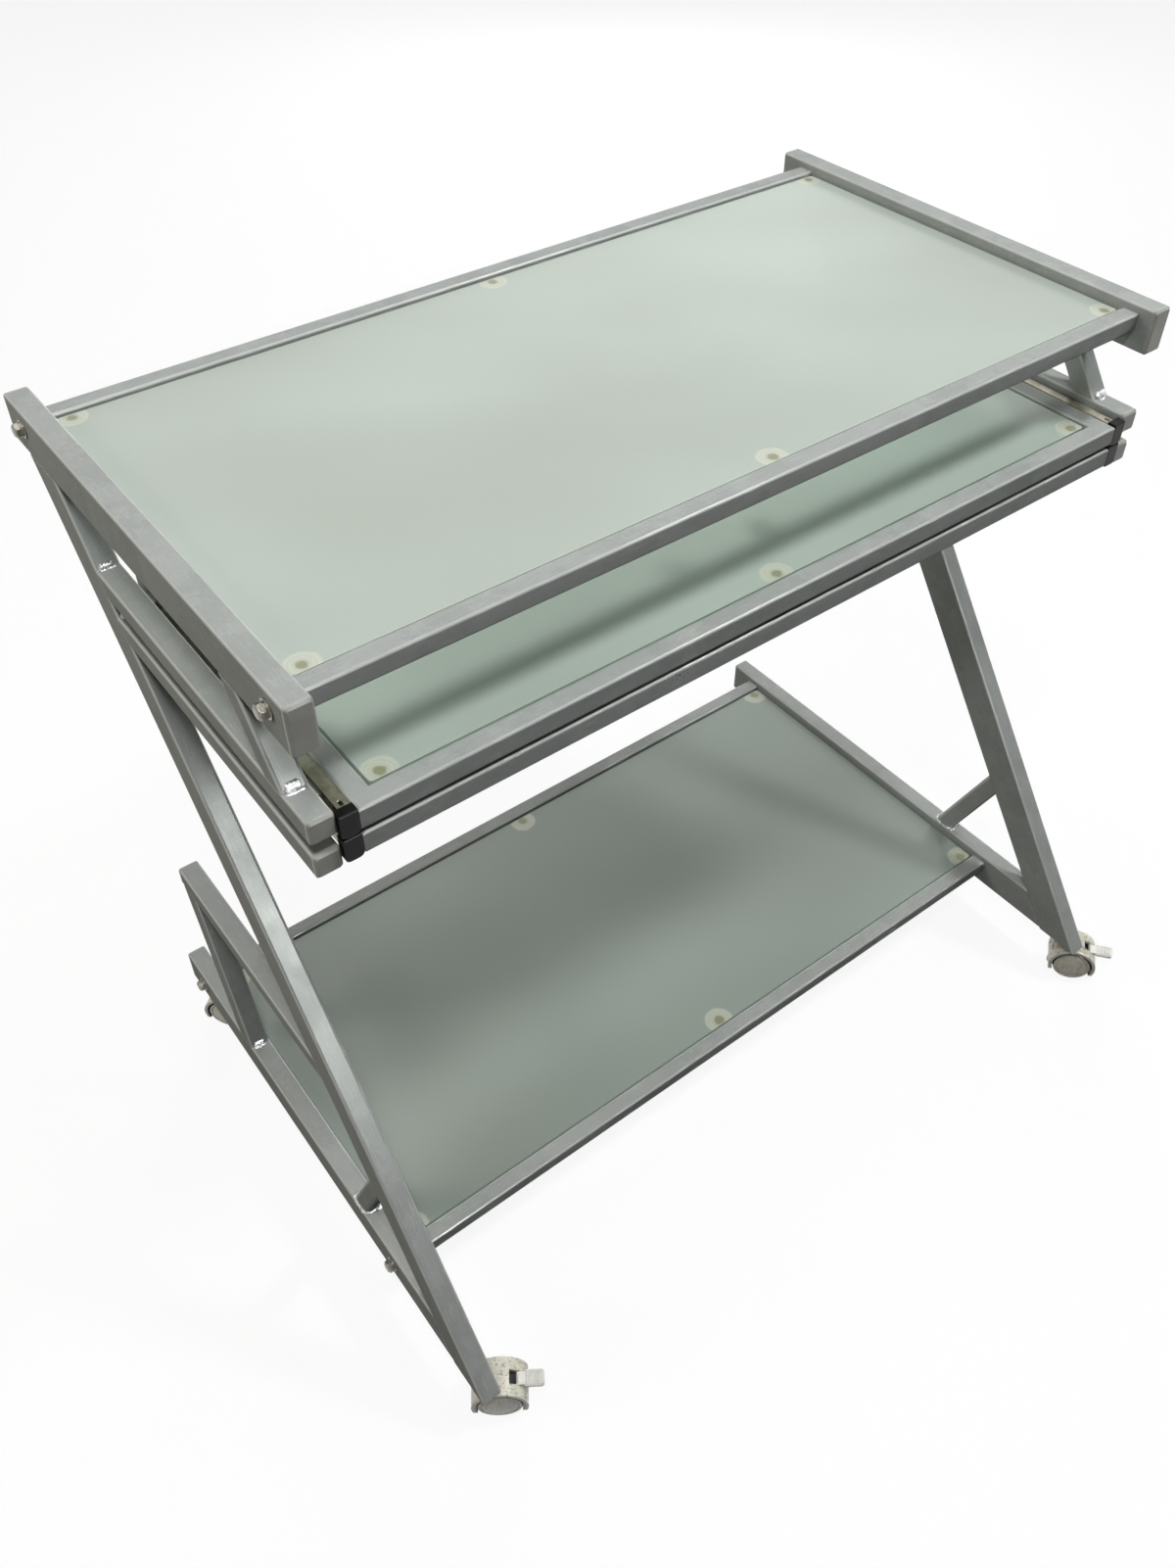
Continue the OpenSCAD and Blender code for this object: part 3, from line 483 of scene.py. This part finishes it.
def moulded_plastic(
    name, colour, dark, rough, grain, worn=0.4, soft=0.0, edge_wear_and_shade=1.25, dusty=0.22, shine=0.5,
    black=None, streaks=0.0,
):
    """Moulded plastic with a fine eroded grain and some dust. Its edges turn paler from rubbing, except
    where their tone is set darker as painted shade in grooves.

    black takes the tree and returns a mask of what is blackened as painted shade; streaks is how dirty the
    sides are.
    """
    material, tree, shader = new_material(name)
    cloud = use(tree, clouding(), Patch=45.0, Grain=grain, Grain_share=0.2)
    edge = use(tree, worn_edge(), Width=0.0009)
    marks = use(tree, scuffing(), Stretch=(260.0, 700.0, 500.0), Patch=70.0, Amount=worn)
    dust = use(tree, settled_dust(), Amount=dusty)["Mask"]
    # Tone of scuffs and edges: paler for rubbing; darker where it paints shade in grooves, as on the
    # lever's ribs
    pale = tuple(min(1.0, part * edge_wear_and_shade + 0.015) for part in colour)
    tinted = blend(tree, cloud["Shade"], dark, colour)
    tinted = blend(tree, marks["Mask"], tinted, pale)
    tinted = blend(tree, edge["Mask"], tinted, pale)
    tinted = blend(tree, dust, tinted, tone(190, 187, 178))
    grime_and_shade = tuple(bpy.context.scene.desk_plastic.grime_and_shade)
    if streaks:
        place = put(tree, "TexCoord").outputs["Object"]
        upright = stretch(tree, place, (420.0, 420.0, 80.0))
        runs = ramp(tree, noise(tree, upright, 1.0, 4.0, 0.65), 0.53, 0.68)
        smudge = ramp(tree, noise(tree, place, 210.0, 5.0, 0.7), 0.55, 0.7, 0.0, 0.8)
        dirt = maths(tree, "MULTIPLY", maths(tree, "MAXIMUM", runs, smudge), streaks)
        tinted = blend(tree, dirt, tinted, grime_and_shade)
    # Blackens what the mask picks, as painted shade, such as the castor hood's pocket
    if black:
        tinted = blend(tree, black(tree), tinted, grime_and_shade)
    rougher = maths(tree, "MULTIPLY_ADD", marks["Mask"], 0.18, rough)
    feed(
        tree, shader, Base_Color=tinted, Metallic=0.0, Specular_IOR_Level=shine,
        Subsurface_Weight=soft, Subsurface_Radius=(0.002, 0.0015, 0.001),
        Roughness=maths(tree, "MULTIPLY_ADD", dust, 0.4, rougher, clamp=True),
        Normal=rough_skin(tree, cloud["Grain"], 0.00005, 0.55, edge["Normal"]),
    )
    return material


def pad_marks(tree, place, spots, spread):
    """Masks of the halo, the rings and the core round each spot, spread times their full size."""
    flat = vector_maths(tree, "MULTIPLY", place, (1.0, 1.0, 0.0))["Vector"]
    away = [vector_maths(tree, "DISTANCE", flat, (spot.x, spot.y, 0.0))["Value"] for spot in spots]
    nearest = away[0]
    for distance in away[1:]:
        nearest = maths(tree, "MINIMUM", nearest, distance)
    ragged = maths(tree, "MULTIPLY_ADD", noise(tree, place, 120.0, 3.0, 0.6), 0.004, nearest)
    ragged = maths(tree, "DIVIDE", ragged, spread)
    rings = []
    for radius in PAD_RINGS:
        off_ring = maths(tree, "ABSOLUTE", maths(tree, "SUBTRACT", ragged, radius))
        rings.append(ramp(tree, off_ring, 0.0018, 0.0003))
    return ramp(tree, ragged, *PAD_HALO), maths(tree, "MAXIMUM", *rings), ramp(tree, ragged, *PAD_CORE)


def glass_sheet(name, body, spots, spread):
    """Glass polished above and etched below, with pale rings where the pads press on it."""
    look = bpy.context.scene.desk_glass
    material, tree, shader = new_material(name)
    coords = put(tree, "TexCoord").outputs
    place = coords["Object"]
    upward = put(tree, "SeparateXYZ", {0: coords["Normal"]}).outputs[2]
    top = ramp(tree, upward, 0.3, 0.7)
    level = ramp(tree, maths(tree, "ABSOLUTE", upward), 0.2, 0.9)
    side = maths(tree, "SUBTRACT", 1.0, level, clamp=True)
    wide = stretch(tree, place, (2.2, 3.6, 1.0), (0.0, 0.0, 0.5))
    haze = ramp(tree, noise(tree, wide, 1.0, 2.0, 0.45), 0.3, 0.72)
    film = noise(tree, place, 900.0, 3.0, 0.7)
    wiped = stretch(tree, place, (14.0, 42.0, 1.0), (0.0, 0.0, 0.9))
    smear = ramp(tree, noise(tree, wiped, 1.0, 5.0, 0.62), 0.5, 0.78)
    darker = tuple(part * share for part, share in zip(body, (0.87, 0.85, 0.85)))
    paler = tuple(min(1.0, part) for part in dim(body, 1.04))
    colour = blend(tree, maths(tree, "MULTIPLY_ADD", film, 0.12, haze), darker, paler)
    halo, rings, core = pad_marks(tree, place, spots, spread)
    marks = ((halo, 0.68, look.pad), (rings, 0.15, look.pad_core), (core, 0.9, look.pad_core))
    for mask, weight, tint in marks:
        colour = blend(tree, maths(tree, "MULTIPLY", mask, weight), colour, tuple(tint))
    colour = blend(tree, side, colour, tuple(look.edge))
    rough = maths(tree, "MULTIPLY_ADD", top, -0.32, 0.5)
    rough = maths(tree, "MULTIPLY_ADD", maths(tree, "MULTIPLY", smear, top), 0.08, rough)
    rough = maths(tree, "MULTIPLY_ADD", side, -0.16, rough, clamp=True)
    etched = maths(tree, "MULTIPLY", film, maths(tree, "SUBTRACT", 1.0, top))
    shadow_ray = put(tree, "LightPath").outputs["Is Shadow Ray"]
    feed(
        tree, shader, Base_Color=colour, Metallic=0.0, Roughness=rough, IOR=1.52,
        Transmission_Weight=look.clear, Specular_IOR_Level=0.5,
        Alpha=maths(tree, "MULTIPLY_ADD", shadow_ray, look.shadow - 1.0, 1.0),
        Normal=rough_skin(tree, etched, 0.00005, 0.4),
    )
    return material


def dress(material, *names):
    """Gives CAD nodes their one material."""
    for name in names:
        mesh = NODES[name].data
        mesh.materials.clear()
        mesh.materials.append(material)


def solids_of(name):
    """Lowest and highest corner of each separate solid in a CAD node."""
    mesh = bmesh.new()
    mesh.from_mesh(NODES[name].data)
    bmesh.ops.remove_doubles(mesh, verts=mesh.verts, dist=1e-6)
    seen, boxes = set(), []
    for start in mesh.verts:
        if start.index in seen:
            continue
        seen.add(start.index)
        waiting, found = [start], []
        while waiting:
            vertex = waiting.pop()
            found.append(vertex.co.copy())
            for edge in vertex.link_edges:
                other = edge.other_vert(vertex)
                if other.index not in seen:
                    seen.add(other.index)
                    waiting.append(other)
        low, high = (Vector([end(place[i] for place in found) for i in range(3)]) for end in (min, max))
        boxes.append((low, high))
    mesh.free()
    return boxes


def middles_of(name):
    """The middle of each separate solid in a CAD node."""
    return [(low + high) / 2 for low, high in solids_of(name)]


# Pieces


class DESK_OT_paint_tubes(bpy.types.Operator):
    """Paints the side frames, crossbars and tray tubes"""

    bl_idname = "desk.paint_tubes"
    bl_label = "Paint tubes"

    def execute(self, context):
        fine, coarse = 1500.0, 55.0
        lengthways = painted_steel("paint_on_rails", (fine, coarse, fine))
        dress(
            lengthways, "left_top_rail", "right_top_rail", "left_bottom_rail", "right_bottom_rail",
            "left_upper_slide_rail", "right_upper_slide_rail", "left_lower_slide_rail",
            "right_lower_slide_rail", "left_side_bar",
        )
        upright = (fine, fine, coarse)
        raked = painted_steel("paint_on_legs", upright, tilt=LEG_RAKE)
        dress(raked, "left_leg", "right_leg", "left_front_strut", "right_front_strut")
        leaning = painted_steel("paint_on_braces", upright, tilt=BRACE_RAKE)
        dress(leaning, "left_foot_brace", "right_foot_brace")
        dress(painted_steel("paint_on_side_strut", upright, tilt=SIDE_STRUT_RAKE), "left_side_strut")
        across = painted_steel("paint_on_crossbars", (coarse, fine, fine))
        dress(across, "top_front_bar", "top_rear_bar", "shelf_front_bar", "shelf_rear_bar")
        handled = painted_steel("paint_on_tray_fronts", (coarse, fine, fine), worn=1.7)
        tray_sides = painted_steel("paint_on_tray_sides", (fine, coarse, fine), worn=1.2)
        for tray in TRAYS:
            dress(handled, f"{tray}_tray_front_tube", f"{tray}_tray_rear_tube")
            dress(tray_sides, f"{tray}_tray_side_tubes")
        return {"FINISHED"}


def bead_mesh(path, up, radius, pitch, chance, closed=False):
    """A weld bead along a path: a low round ridge whose ripples follow each other.

    A ripple is full where it starts and thins towards the next, and its sides lag behind its crest.
    """
    corners = path + path[:1] if closed else path
    spans = [(second - first).length for first, second in zip(corners, corners[1:])]
    length = sum(spans)
    steps_per_ripple, fewest_steps, around, flatness = 5, 10, 12, 0.75
    thinnest, swelling, unevenness, side_lag = 0.82, 0.24, 0.05, 0.35
    steps = max(fewest_steps, int(length / pitch * steps_per_ripple))
    mesh = bmesh.new()
    rings = []
    span, walked = 0, 0.0
    for step in range(steps if closed else steps + 1):
        t = step / steps
        while span < len(spans) - 1 and walked + spans[span] < t * length:
            walked += spans[span]
            span += 1
        along = (corners[span + 1] - corners[span]).normalized()
        side = along.cross(up).normalized()
        ripple = (t * length / pitch) % 1.0
        swell = thinnest + swelling * (1.0 - ripple) ** 0.6
        taper = 1.0 if closed else min(1.0, math.sqrt(max(0.0, 1 - (2 * t - 1) ** 6)) + 0.05)
        wobble = chance.uniform(-unevenness, unevenness) * radius
        centre = corners[span] + along * (t * length - walked) + side * wobble
        ring = []
        for k in range(around):
            angle = 2 * math.pi * k / around
            lag = -side_lag * pitch * math.cos(angle) ** 2
            outward = side * math.cos(angle) + up * (flatness * math.sin(angle))
            ring.append(mesh.verts.new(centre + outward * (radius * swell * taper) + along * lag))
        rings.append(ring)
    for first, second in zip(rings, rings[1:] + rings[:1] if closed else rings[1:]):
        for k in range(around):
            after = (k + 1) % around
            mesh.faces.new((first[k], first[after], second[after], second[k]))
    if not closed:
        mesh.faces.new(list(reversed(rings[0])))
        mesh.faces.new(rings[-1])
    data = bpy.data.meshes.new("bead")
    mesh.normal_update()
    mesh.to_mesh(data)
    mesh.free()
    return data


def joined(meshes, name, material):
    """Makes one object of several meshes, with one material."""
    whole = bmesh.new()
    for mesh in meshes:
        whole.from_mesh(mesh)
        bpy.data.meshes.remove(mesh)
    data = bpy.data.meshes.new(name)
    whole.to_mesh(data)
    whole.free()
    data.shade_smooth()
    data.materials.append(material)
    piece = bpy.data.objects.new(name, data)
    bpy.context.scene.collection.objects.link(piece)
    return piece


def brace_outline(low, high):
    """The outline of a foot brace's lower end: a box with rounded corners."""
    around = 40
    points = []
    half = (high.x - low.x) / 2
    for step in range(around):
        angle = 2 * math.pi * step / around
        cosine, sine = math.cos(angle), math.sin(angle)
        across = math.copysign(half - BRACE_CORNER, cosine) + BRACE_CORNER * cosine
        deep = math.copysign(BRACE_DEPTH - BRACE_CORNER, sine) + BRACE_CORNER * sine
        points.append(Vector(((low.x + high.x) / 2 + across, high.y - BRACE_DEPTH + deep, low.z)))
    return points


def frame_beads(side, sign, look, chance):
    """The weld beads of one side frame, where its tubes meet. sign is that side's way along X."""
    low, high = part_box(f"{side}_leg")
    inset = sign * 0.0022
    outer, inner = (high.x, low.x) if sign > 0 else (low.x, high.x)
    outer, inner = outer - inset, inner + inset
    bottom_low, bottom_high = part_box("left_bottom_rail")
    leg_run = (bottom_high.z - bottom_low.z) / math.cos(LEG_RAKE)
    beads = []

    def rear(z):
        """Where the leg's rear face is at this height."""
        return high.y - (high.z - z) * math.tan(LEG_RAKE)

    def front(z):
        return rear(z) - leg_run

    def bead(y, z, up, scale=1.0):
        """Two runs side by side, the second one shorter."""
        up = Vector(up).normalized()
        aside = Vector((sign, 0, 0)).cross(up) * (look.bead * scale * 0.8)
        for way, ends in ((-1, 0.0004), (1, 0.0016)):
            start = Vector((outer - sign * ends, y, z)) + aside * way
            end = Vector((inner + sign * ends, y, z)) + aside * way
            beads.append(bead_mesh([start, end], up, look.bead * scale, look.pitch, chance))

    bead(front(high.z), high.z, (0, -1, -0.5))
    bead(rear(high.z) - 0.001, high.z, (0, 1, -1))
    for tray in TRAYS:
        rail_low, rail_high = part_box(f"{side}_{tray}_slide_rail")
        bead(front(rail_high.z), rail_high.z, (0, -0.4, 1))
        bead(front(rail_low.z), rail_low.z, (0, -1, -0.6))
    strut_low, strut_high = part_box(f"{side}_front_strut")
    strut_run = STRUT_TUBE / math.cos(LEG_RAKE)
    bead(strut_low.y, strut_low.z, (0, -1, 1), 1.25)
    bead(strut_low.y + strut_run, strut_low.z, (0, 1, 0.6))
    bead(strut_high.y, strut_high.z, (0, 1, -1))
    bead(strut_high.y - strut_run, strut_high.z, (0, -0.6, -1))
    rail_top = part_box(f"{side}_bottom_rail")[1].z
    bead(rear(rail_top), rail_top, (0, 0.6, 1), 1.1)

    upward = Vector((0, 0, 1))
    brace_low, brace_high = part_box(f"{side}_foot_brace")
    outline = brace_outline(brace_low, brace_high)
    beads.append(bead_mesh(outline, upward, look.bead * 0.8, look.pitch, chance, closed=True))
    blob = Vector((inner, brace_high.y - 2 * BRACE_DEPTH, brace_low.z))
    blob_end = blob + Vector((sign * 0.006, -0.002, 0))
    beads.append(bead_mesh([blob, blob_end], upward, look.bead * 1.3, look.pitch, chance))
    if side == "left":
        bar_low, bar_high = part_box("left_side_bar")
        bead(rear(bar_high.z), bar_high.z, (0, 0.6, 1))
        bead(rear(bar_low.z), bar_low.z, (0, 1, -0.5))
        strut_low, strut_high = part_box("left_side_strut")
        bead(strut_low.y, strut_low.z, (0, -1, 1), 1.2)
        bead(strut_high.y, strut_high.z, (0, 1, -1))
    return beads


class DESK_OT_weld_beads(bpy.types.Operator):
    """Lays the weld beads in the corners of the side frames"""

    bl_idname = "desk.weld_beads"
    bl_label = "Weld beads"

    def execute(self, context):
        look = context.scene.desk_welds
        chance = random.Random(look.seed)
        metal = weld_metal()
        for side, sign in (("left", -1), ("right", 1)):
            piece = joined(frame_beads(side, sign, look, chance), f"{side}_weld_beads", metal)
            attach(piece, "frame")
        return {"FINISHED"}


class DESK_OT_finish_caps(bpy.types.Operator):
    """Finishes the plastic caps in the tube ends and the sockets inside"""

    bl_idname = "desk.finish_caps"
    bl_label = "Tube caps"

    def execute(self, context):
        cap = tuple(context.scene.desk_plastic.cap)
        grey = moulded_plastic("cap_plastic_grained", cap, dim(cap, 0.84), 0.42, 2600.0, 0.45, shine=0.3)
        dress(grey, "top_rail_caps", "bottom_rail_caps", "square_tube_caps", "bar_inserts", "stem_sockets")
        return {"FINISHED"}


class DESK_OT_lay_glass(bpy.types.Operator):
    """Gives the four glass panels their frosted body and the pads their silicone"""

    bl_idname = "desk.lay_glass"
    bl_label = "Glass and pads"

    def execute(self, context):
        look = context.scene.desk_glass
        # A mark lies this much nearer the panel's edge than the middle of the pad that makes it
        to_edge = 0.004
        for panel, body, pads, spread in (
            ("top_glass", look.frosted, "top_glass_pads", 0.72),
            ("upper_tray_glass", look.tray, "upper_tray_pads", 0.78),
            ("lower_tray_glass", look.tray, "lower_tray_pads", 0.78),
            ("shelf_glass", look.shelf, "shelf_glass_pads", 0.86),
        ):
            low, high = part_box(panel)
            middle = (low.y + high.y) / 2
            spots = middles_of(pads)
            for spot in spots:
                spot.y += math.copysign(to_edge, spot.y - middle)
            dress(glass_sheet(f"frosted_{panel}", tuple(body), spots, spread), panel)
        pad = tuple(look.pad)
        silicone = moulded_plastic("pad_silicone", pad, dim(pad, 0.9), 0.32, 900.0, 0.1, soft=0.35)
        dress(silicone, "top_glass_pads", "shelf_glass_pads", "upper_tray_pads", "lower_tray_pads")
        return {"FINISHED"}


class DESK_OT_fit_bolts(bpy.types.Operator):
    """Plates the frame bolts, washers and castor stems"""

    bl_idname = "desk.fit_bolts"
    bl_label = "Bolts and stems"

    def execute(self, context):
        zinc = tuple(context.scene.desk_plastic.zinc)
        dull = tone(132, 128, 119)
        bolts = plated_steel("zinc_on_bolts", dull, dim(zinc, 0.55), 0.3, (900.0, 900.0, 900.0))
        dress(bolts, "frame_bolts", "bolt_washers")
        stems = plated_steel("zinc_on_stems", zinc, dim(zinc, 0.7), 0.2, (1500.0, 1500.0, 80.0))
        dress(stems, "castor_stems")
        return {"FINISHED"}


class DESK_OT_fit_slides(bpy.types.Operator):
    """Finishes the slide channels, runners, ball cages and bumpers"""

    bl_idname = "desk.fit_slides"
    bl_label = "Slides"

    def execute(self, context):
        look = context.scene.desk_plastic
        zinc, black = tuple(look.zinc), tuple(look.bumper)
        drawn = (1800.0, 40.0, 1800.0)
        runner = plated_steel("zinc_on_runners", zinc, dim(zinc, 0.7), 0.22, drawn)
        channel = plated_steel("zinc_on_channels", tone(192, 188, 170), tone(136, 131, 110), 0.3, drawn)
        cage = plated_steel("zinc_on_cages", zinc, dim(zinc, 0.6), 0.3, drawn)
        bumper = moulded_plastic(
            "bumper_plastic", black, dim(black, 0.6), 0.3, 1500.0, 0.15,
            edge_wear_and_shade=2.0, dusty=0.02, shine=0.15,
        )
        for tray in TRAYS:
            dress(channel, f"{tray}_slide_channels")
            dress(runner, f"{tray}_slide_runners")
            dress(cage, f"{tray}_ball_cages")
            dress(bumper, f"{tray}_slide_bumpers")
        return {"FINISHED"}


def by_axle(joint, low, high):
    """Makes a mask that is 0 at the radius low from a wheel's axle and 1 at the radius high."""
    centre, axis = tuple(joint["pos_m"]), tuple(joint["axis"])

    def mask(tree):
        away = use(tree, off_axle(), Centre=centre, Axis=axis)["Distance"]
        return ramp(tree, away, low, high)

    return mask


class DESK_OT_fit_castors(bpy.types.Operator):
    """Finishes the castor hoods, wheels and brake levers"""

    bl_idname = "desk.fit_castors"
    bl_label = "Castors"

    def execute(self, context):
        look = context.scene.desk_plastic
        beige, pale = tuple(look.castor), tuple(look.lever)
        joints = {joint["name"]: joint for joint in frame["joints"]}
        for corner in CASTORS:
            roll = joints[f"{corner}_roll"]
            # The inside of the hood round the wheel is blackened: painted shade in its pocket
            hood_pocket_shade = by_axle(roll, POCKET_RADIUS + 0.0008, POCKET_RADIUS + 0.0004)
            # The wheel's rim next to the hood is blackened: painted shade of the gap round the wheel
            tread_gap_shade = by_axle(roll, WHEEL_RADIUS - 0.0012, WHEEL_RADIUS - 0.0008)
            hood = moulded_plastic(
                f"{corner}_hood_plastic", beige, dim(beige, 0.84), 0.3, 1200.0, 0.3,
                soft=0.1, streaks=0.8, black=hood_pocket_shade,
            )
            wheel = moulded_plastic(
                f"{corner}_wheel_plastic", beige, dim(beige, 0.8), 0.24, 900.0, 0.35,
                soft=0.1, streaks=0.35, black=tread_gap_shade,
            )
            dress(hood, f"{corner}_castor_hood")
            dress(wheel, f"{corner}_castor_wheels")
        # The lever's edges take a darker tone: painted shade in the grooves between its ribs
        lever = moulded_plastic(
            "lever_plastic", pale, dim(pale, 0.88), 0.34, 900.0, 0.2, edge_wear_and_shade=0.5, streaks=0.15
        )
        dress(lever, "left_brake_lever", "right_brake_lever")
        return {"FINISHED"}


# Studio


def soft_lamp(name, power, place, target, width, depth, colour=(1.0, 1.0, 1.0)):
    """A rectangular lamp at place that shines at target."""
    light = bpy.data.lights.new(name, "AREA")
    light.color = colour
    light.shape = "RECTANGLE"
    light.energy, light.size, light.size_y = power, width, depth
    lamp = bpy.data.objects.new(name, light)
    bpy.context.scene.collection.objects.link(lamp)
    lamp.location = place
    lamp.rotation_euler = (Vector(target) - Vector(place)).to_track_quat("-Z", "Y").to_euler()
    return lamp


def shown_background(tree):
    """1 for rays that show the background: from the camera, off gloss and through glass."""
    path = put(tree, "LightPath").outputs
    seen = maths(tree, "MAXIMUM", path["Is Camera Ray"], path["Is Glossy Ray"])
    return maths(tree, "MAXIMUM", seen, path["Is Transmission Ray"])


def lay_floor(look):
    """A square floor that the camera sees as pale, and that darkens only in shadow."""
    half = look.reach / 2
    corners = [(-half, -half, 0), (half, -half, 0), (half, half, 0), (-half, half, 0)]
    data = bpy.data.meshes.new("studio_floor")
    data.from_pydata(corners, [], [(0, 1, 2, 3)])
    floor = bpy.data.objects.new("studio_floor", data)
    bpy.context.scene.collection.objects.link(floor)
    material, tree, shader = new_material("studio_floor")
    grain = noise(tree, put(tree, "TexCoord").outputs["Object"], 240.0, 3.0)
    pale = blend(tree, maths(tree, "MULTIPLY", grain, 0.05), tuple(look.floor), tone(235, 235, 235))
    seen = shown_background(tree)
    unlit = tone(54, 53, 50)
    feed(
        tree, shader, Base_Color=blend(tree, seen, unlit, dim(look.floor, 1 - look.glow)),
        Emission_Color=pale, Emission_Strength=maths(tree, "MULTIPLY", seen, look.glow),
        Roughness=0.85, Specular_IOR_Level=0.0,
    )
    data.materials.append(material)


def set_world(look):
    """A pale backdrop that sheds only a little light on the desk."""
    world = bpy.data.worlds.new("studio")
    world.use_nodes = True
    bpy.context.scene.world = world
    tree = world.node_tree
    tree.nodes.clear()
    above_floor = 0.02
    shown = look.glow + above_floor
    strength = maths(tree, "MULTIPLY_ADD", shown_background(tree), shown - look.fill, look.fill)
    sky = put(tree, "Background", {"Color": (1, 1, 1, 1), "Strength": strength})
    tree.links.new(sky.outputs[0], put(tree, "OutputWorld").inputs["Surface"])


def set_lamps(look):
    """The lamps. The one in front only glares on the steel and the plastic, not on the glass."""
    for side, x in (("right", 1.44), ("left", -0.79)):
        soft_lamp(f"ceiling_lamp_{side}", look.ceiling, (x, -0.93, 2.85), (0, 0, 0.6), 0.4, 0.4)
    soft_lamp("overhead_lamp", look.overhead, (0.25, 0.45, 3.0), (0.05, 0.05, 0.6), 2.0, 1.8)
    window = soft_lamp("window_lamp", look.window, (0.15, -2.6, 1.4), (-0.2, 0, 0.5), 0.3, 0.9)
    behind = soft_lamp("lamp_behind", look.behind, (2.2, 2.6, 1.3), (0, 0, 0.4), 1.4, 1.2)
    warm = (1.0, 0.94, 0.86)
    left = soft_lamp("left_lamp", look.left, (-2.2, 0.7, 1.3), (-0.4, 0, 0.5), 0.9, 0.9, warm)
    behind.visible_glossy = False
    left.visible_glossy = False
    window.visible_diffuse = False
    all_but_glass = bpy.data.collections.new("all_but_glass")
    for piece in bpy.context.scene.objects:
        if piece.type == "MESH" and not piece.active_material.name.startswith("frosted"):
            all_but_glass.objects.link(piece)
    window.light_linking.receiver_collection = all_but_glass


def set_camera():
    """The camera that took the photograph, as fitted to the desk's corners in it."""
    picture_height, focal_pixels, sensor = 1601, 1379.592, 36.0
    lens = bpy.data.cameras.new("camera")
    lens.sensor_width = sensor
    lens.lens = focal_pixels * sensor / picture_height
    lens.shift_x, lens.shift_y = -0.00298, -0.03538
    camera = bpy.data.objects.new("camera", lens)
    bpy.context.scene.collection.objects.link(camera)
    camera.location = (-0.5960, -0.7502, 1.2461)
    turned, lowered, roll = 0.651822, 0.752751, -0.000934
    camera.rotation_euler = (math.pi / 2 - lowered, roll, -turned)
    bpy.context.scene.camera = camera


class DESK_OT_set_studio(bpy.types.Operator):
    """Lays the floor and sets the lamps, the world and the camera"""

    bl_idname = "desk.set_studio"
    bl_label = "Studio"

    def execute(self, context):
        look = context.scene.desk_studio
        lay_floor(look)
        set_world(look)
        set_lamps(look)
        set_camera()
        context.scene.view_settings.view_transform = "Standard"
        return {"FINISHED"}


STEPS = (
    DESK_OT_paint_tubes, DESK_OT_weld_beads, DESK_OT_finish_caps, DESK_OT_lay_glass,
    DESK_OT_fit_bolts, DESK_OT_fit_slides, DESK_OT_fit_castors, DESK_OT_set_studio,
)


class DESK_PT_finishes(bpy.types.Panel):
    """Lists the desk's steps and what they take"""

    bl_label = "Desk finishes"
    bl_idname = "DESK_PT_finishes"
    bl_space_type = "VIEW_3D"
    bl_region_type = "UI"
    bl_category = "Desk"

    def draw(self, context):
        for look, kind in LOOKS.items():
            box = self.layout.box()
            box.label(text=kind.__doc__)
            for name in kind.__annotations__:
                box.prop(getattr(context.scene, look), name)
        for step in STEPS:
            self.layout.operator(step.bl_idname)


CLASSES = (*LOOKS.values(), *STEPS, DESK_PT_finishes)


def register():
    for kind in CLASSES:
        bpy.utils.register_class(kind)
    for look, kind in LOOKS.items():
        setattr(bpy.types.Scene, look, PointerProperty(type=kind))


def unregister():
    for look in LOOKS:
        delattr(bpy.types.Scene, look)
    for kind in reversed(CLASSES):
        bpy.utils.unregister_class(kind)


def main():
    register()
    for step in STEPS:
        family, name = step.bl_idname.split(".")
        getattr(getattr(bpy.ops, family), name)()


if __name__ == "__main__":
    main()
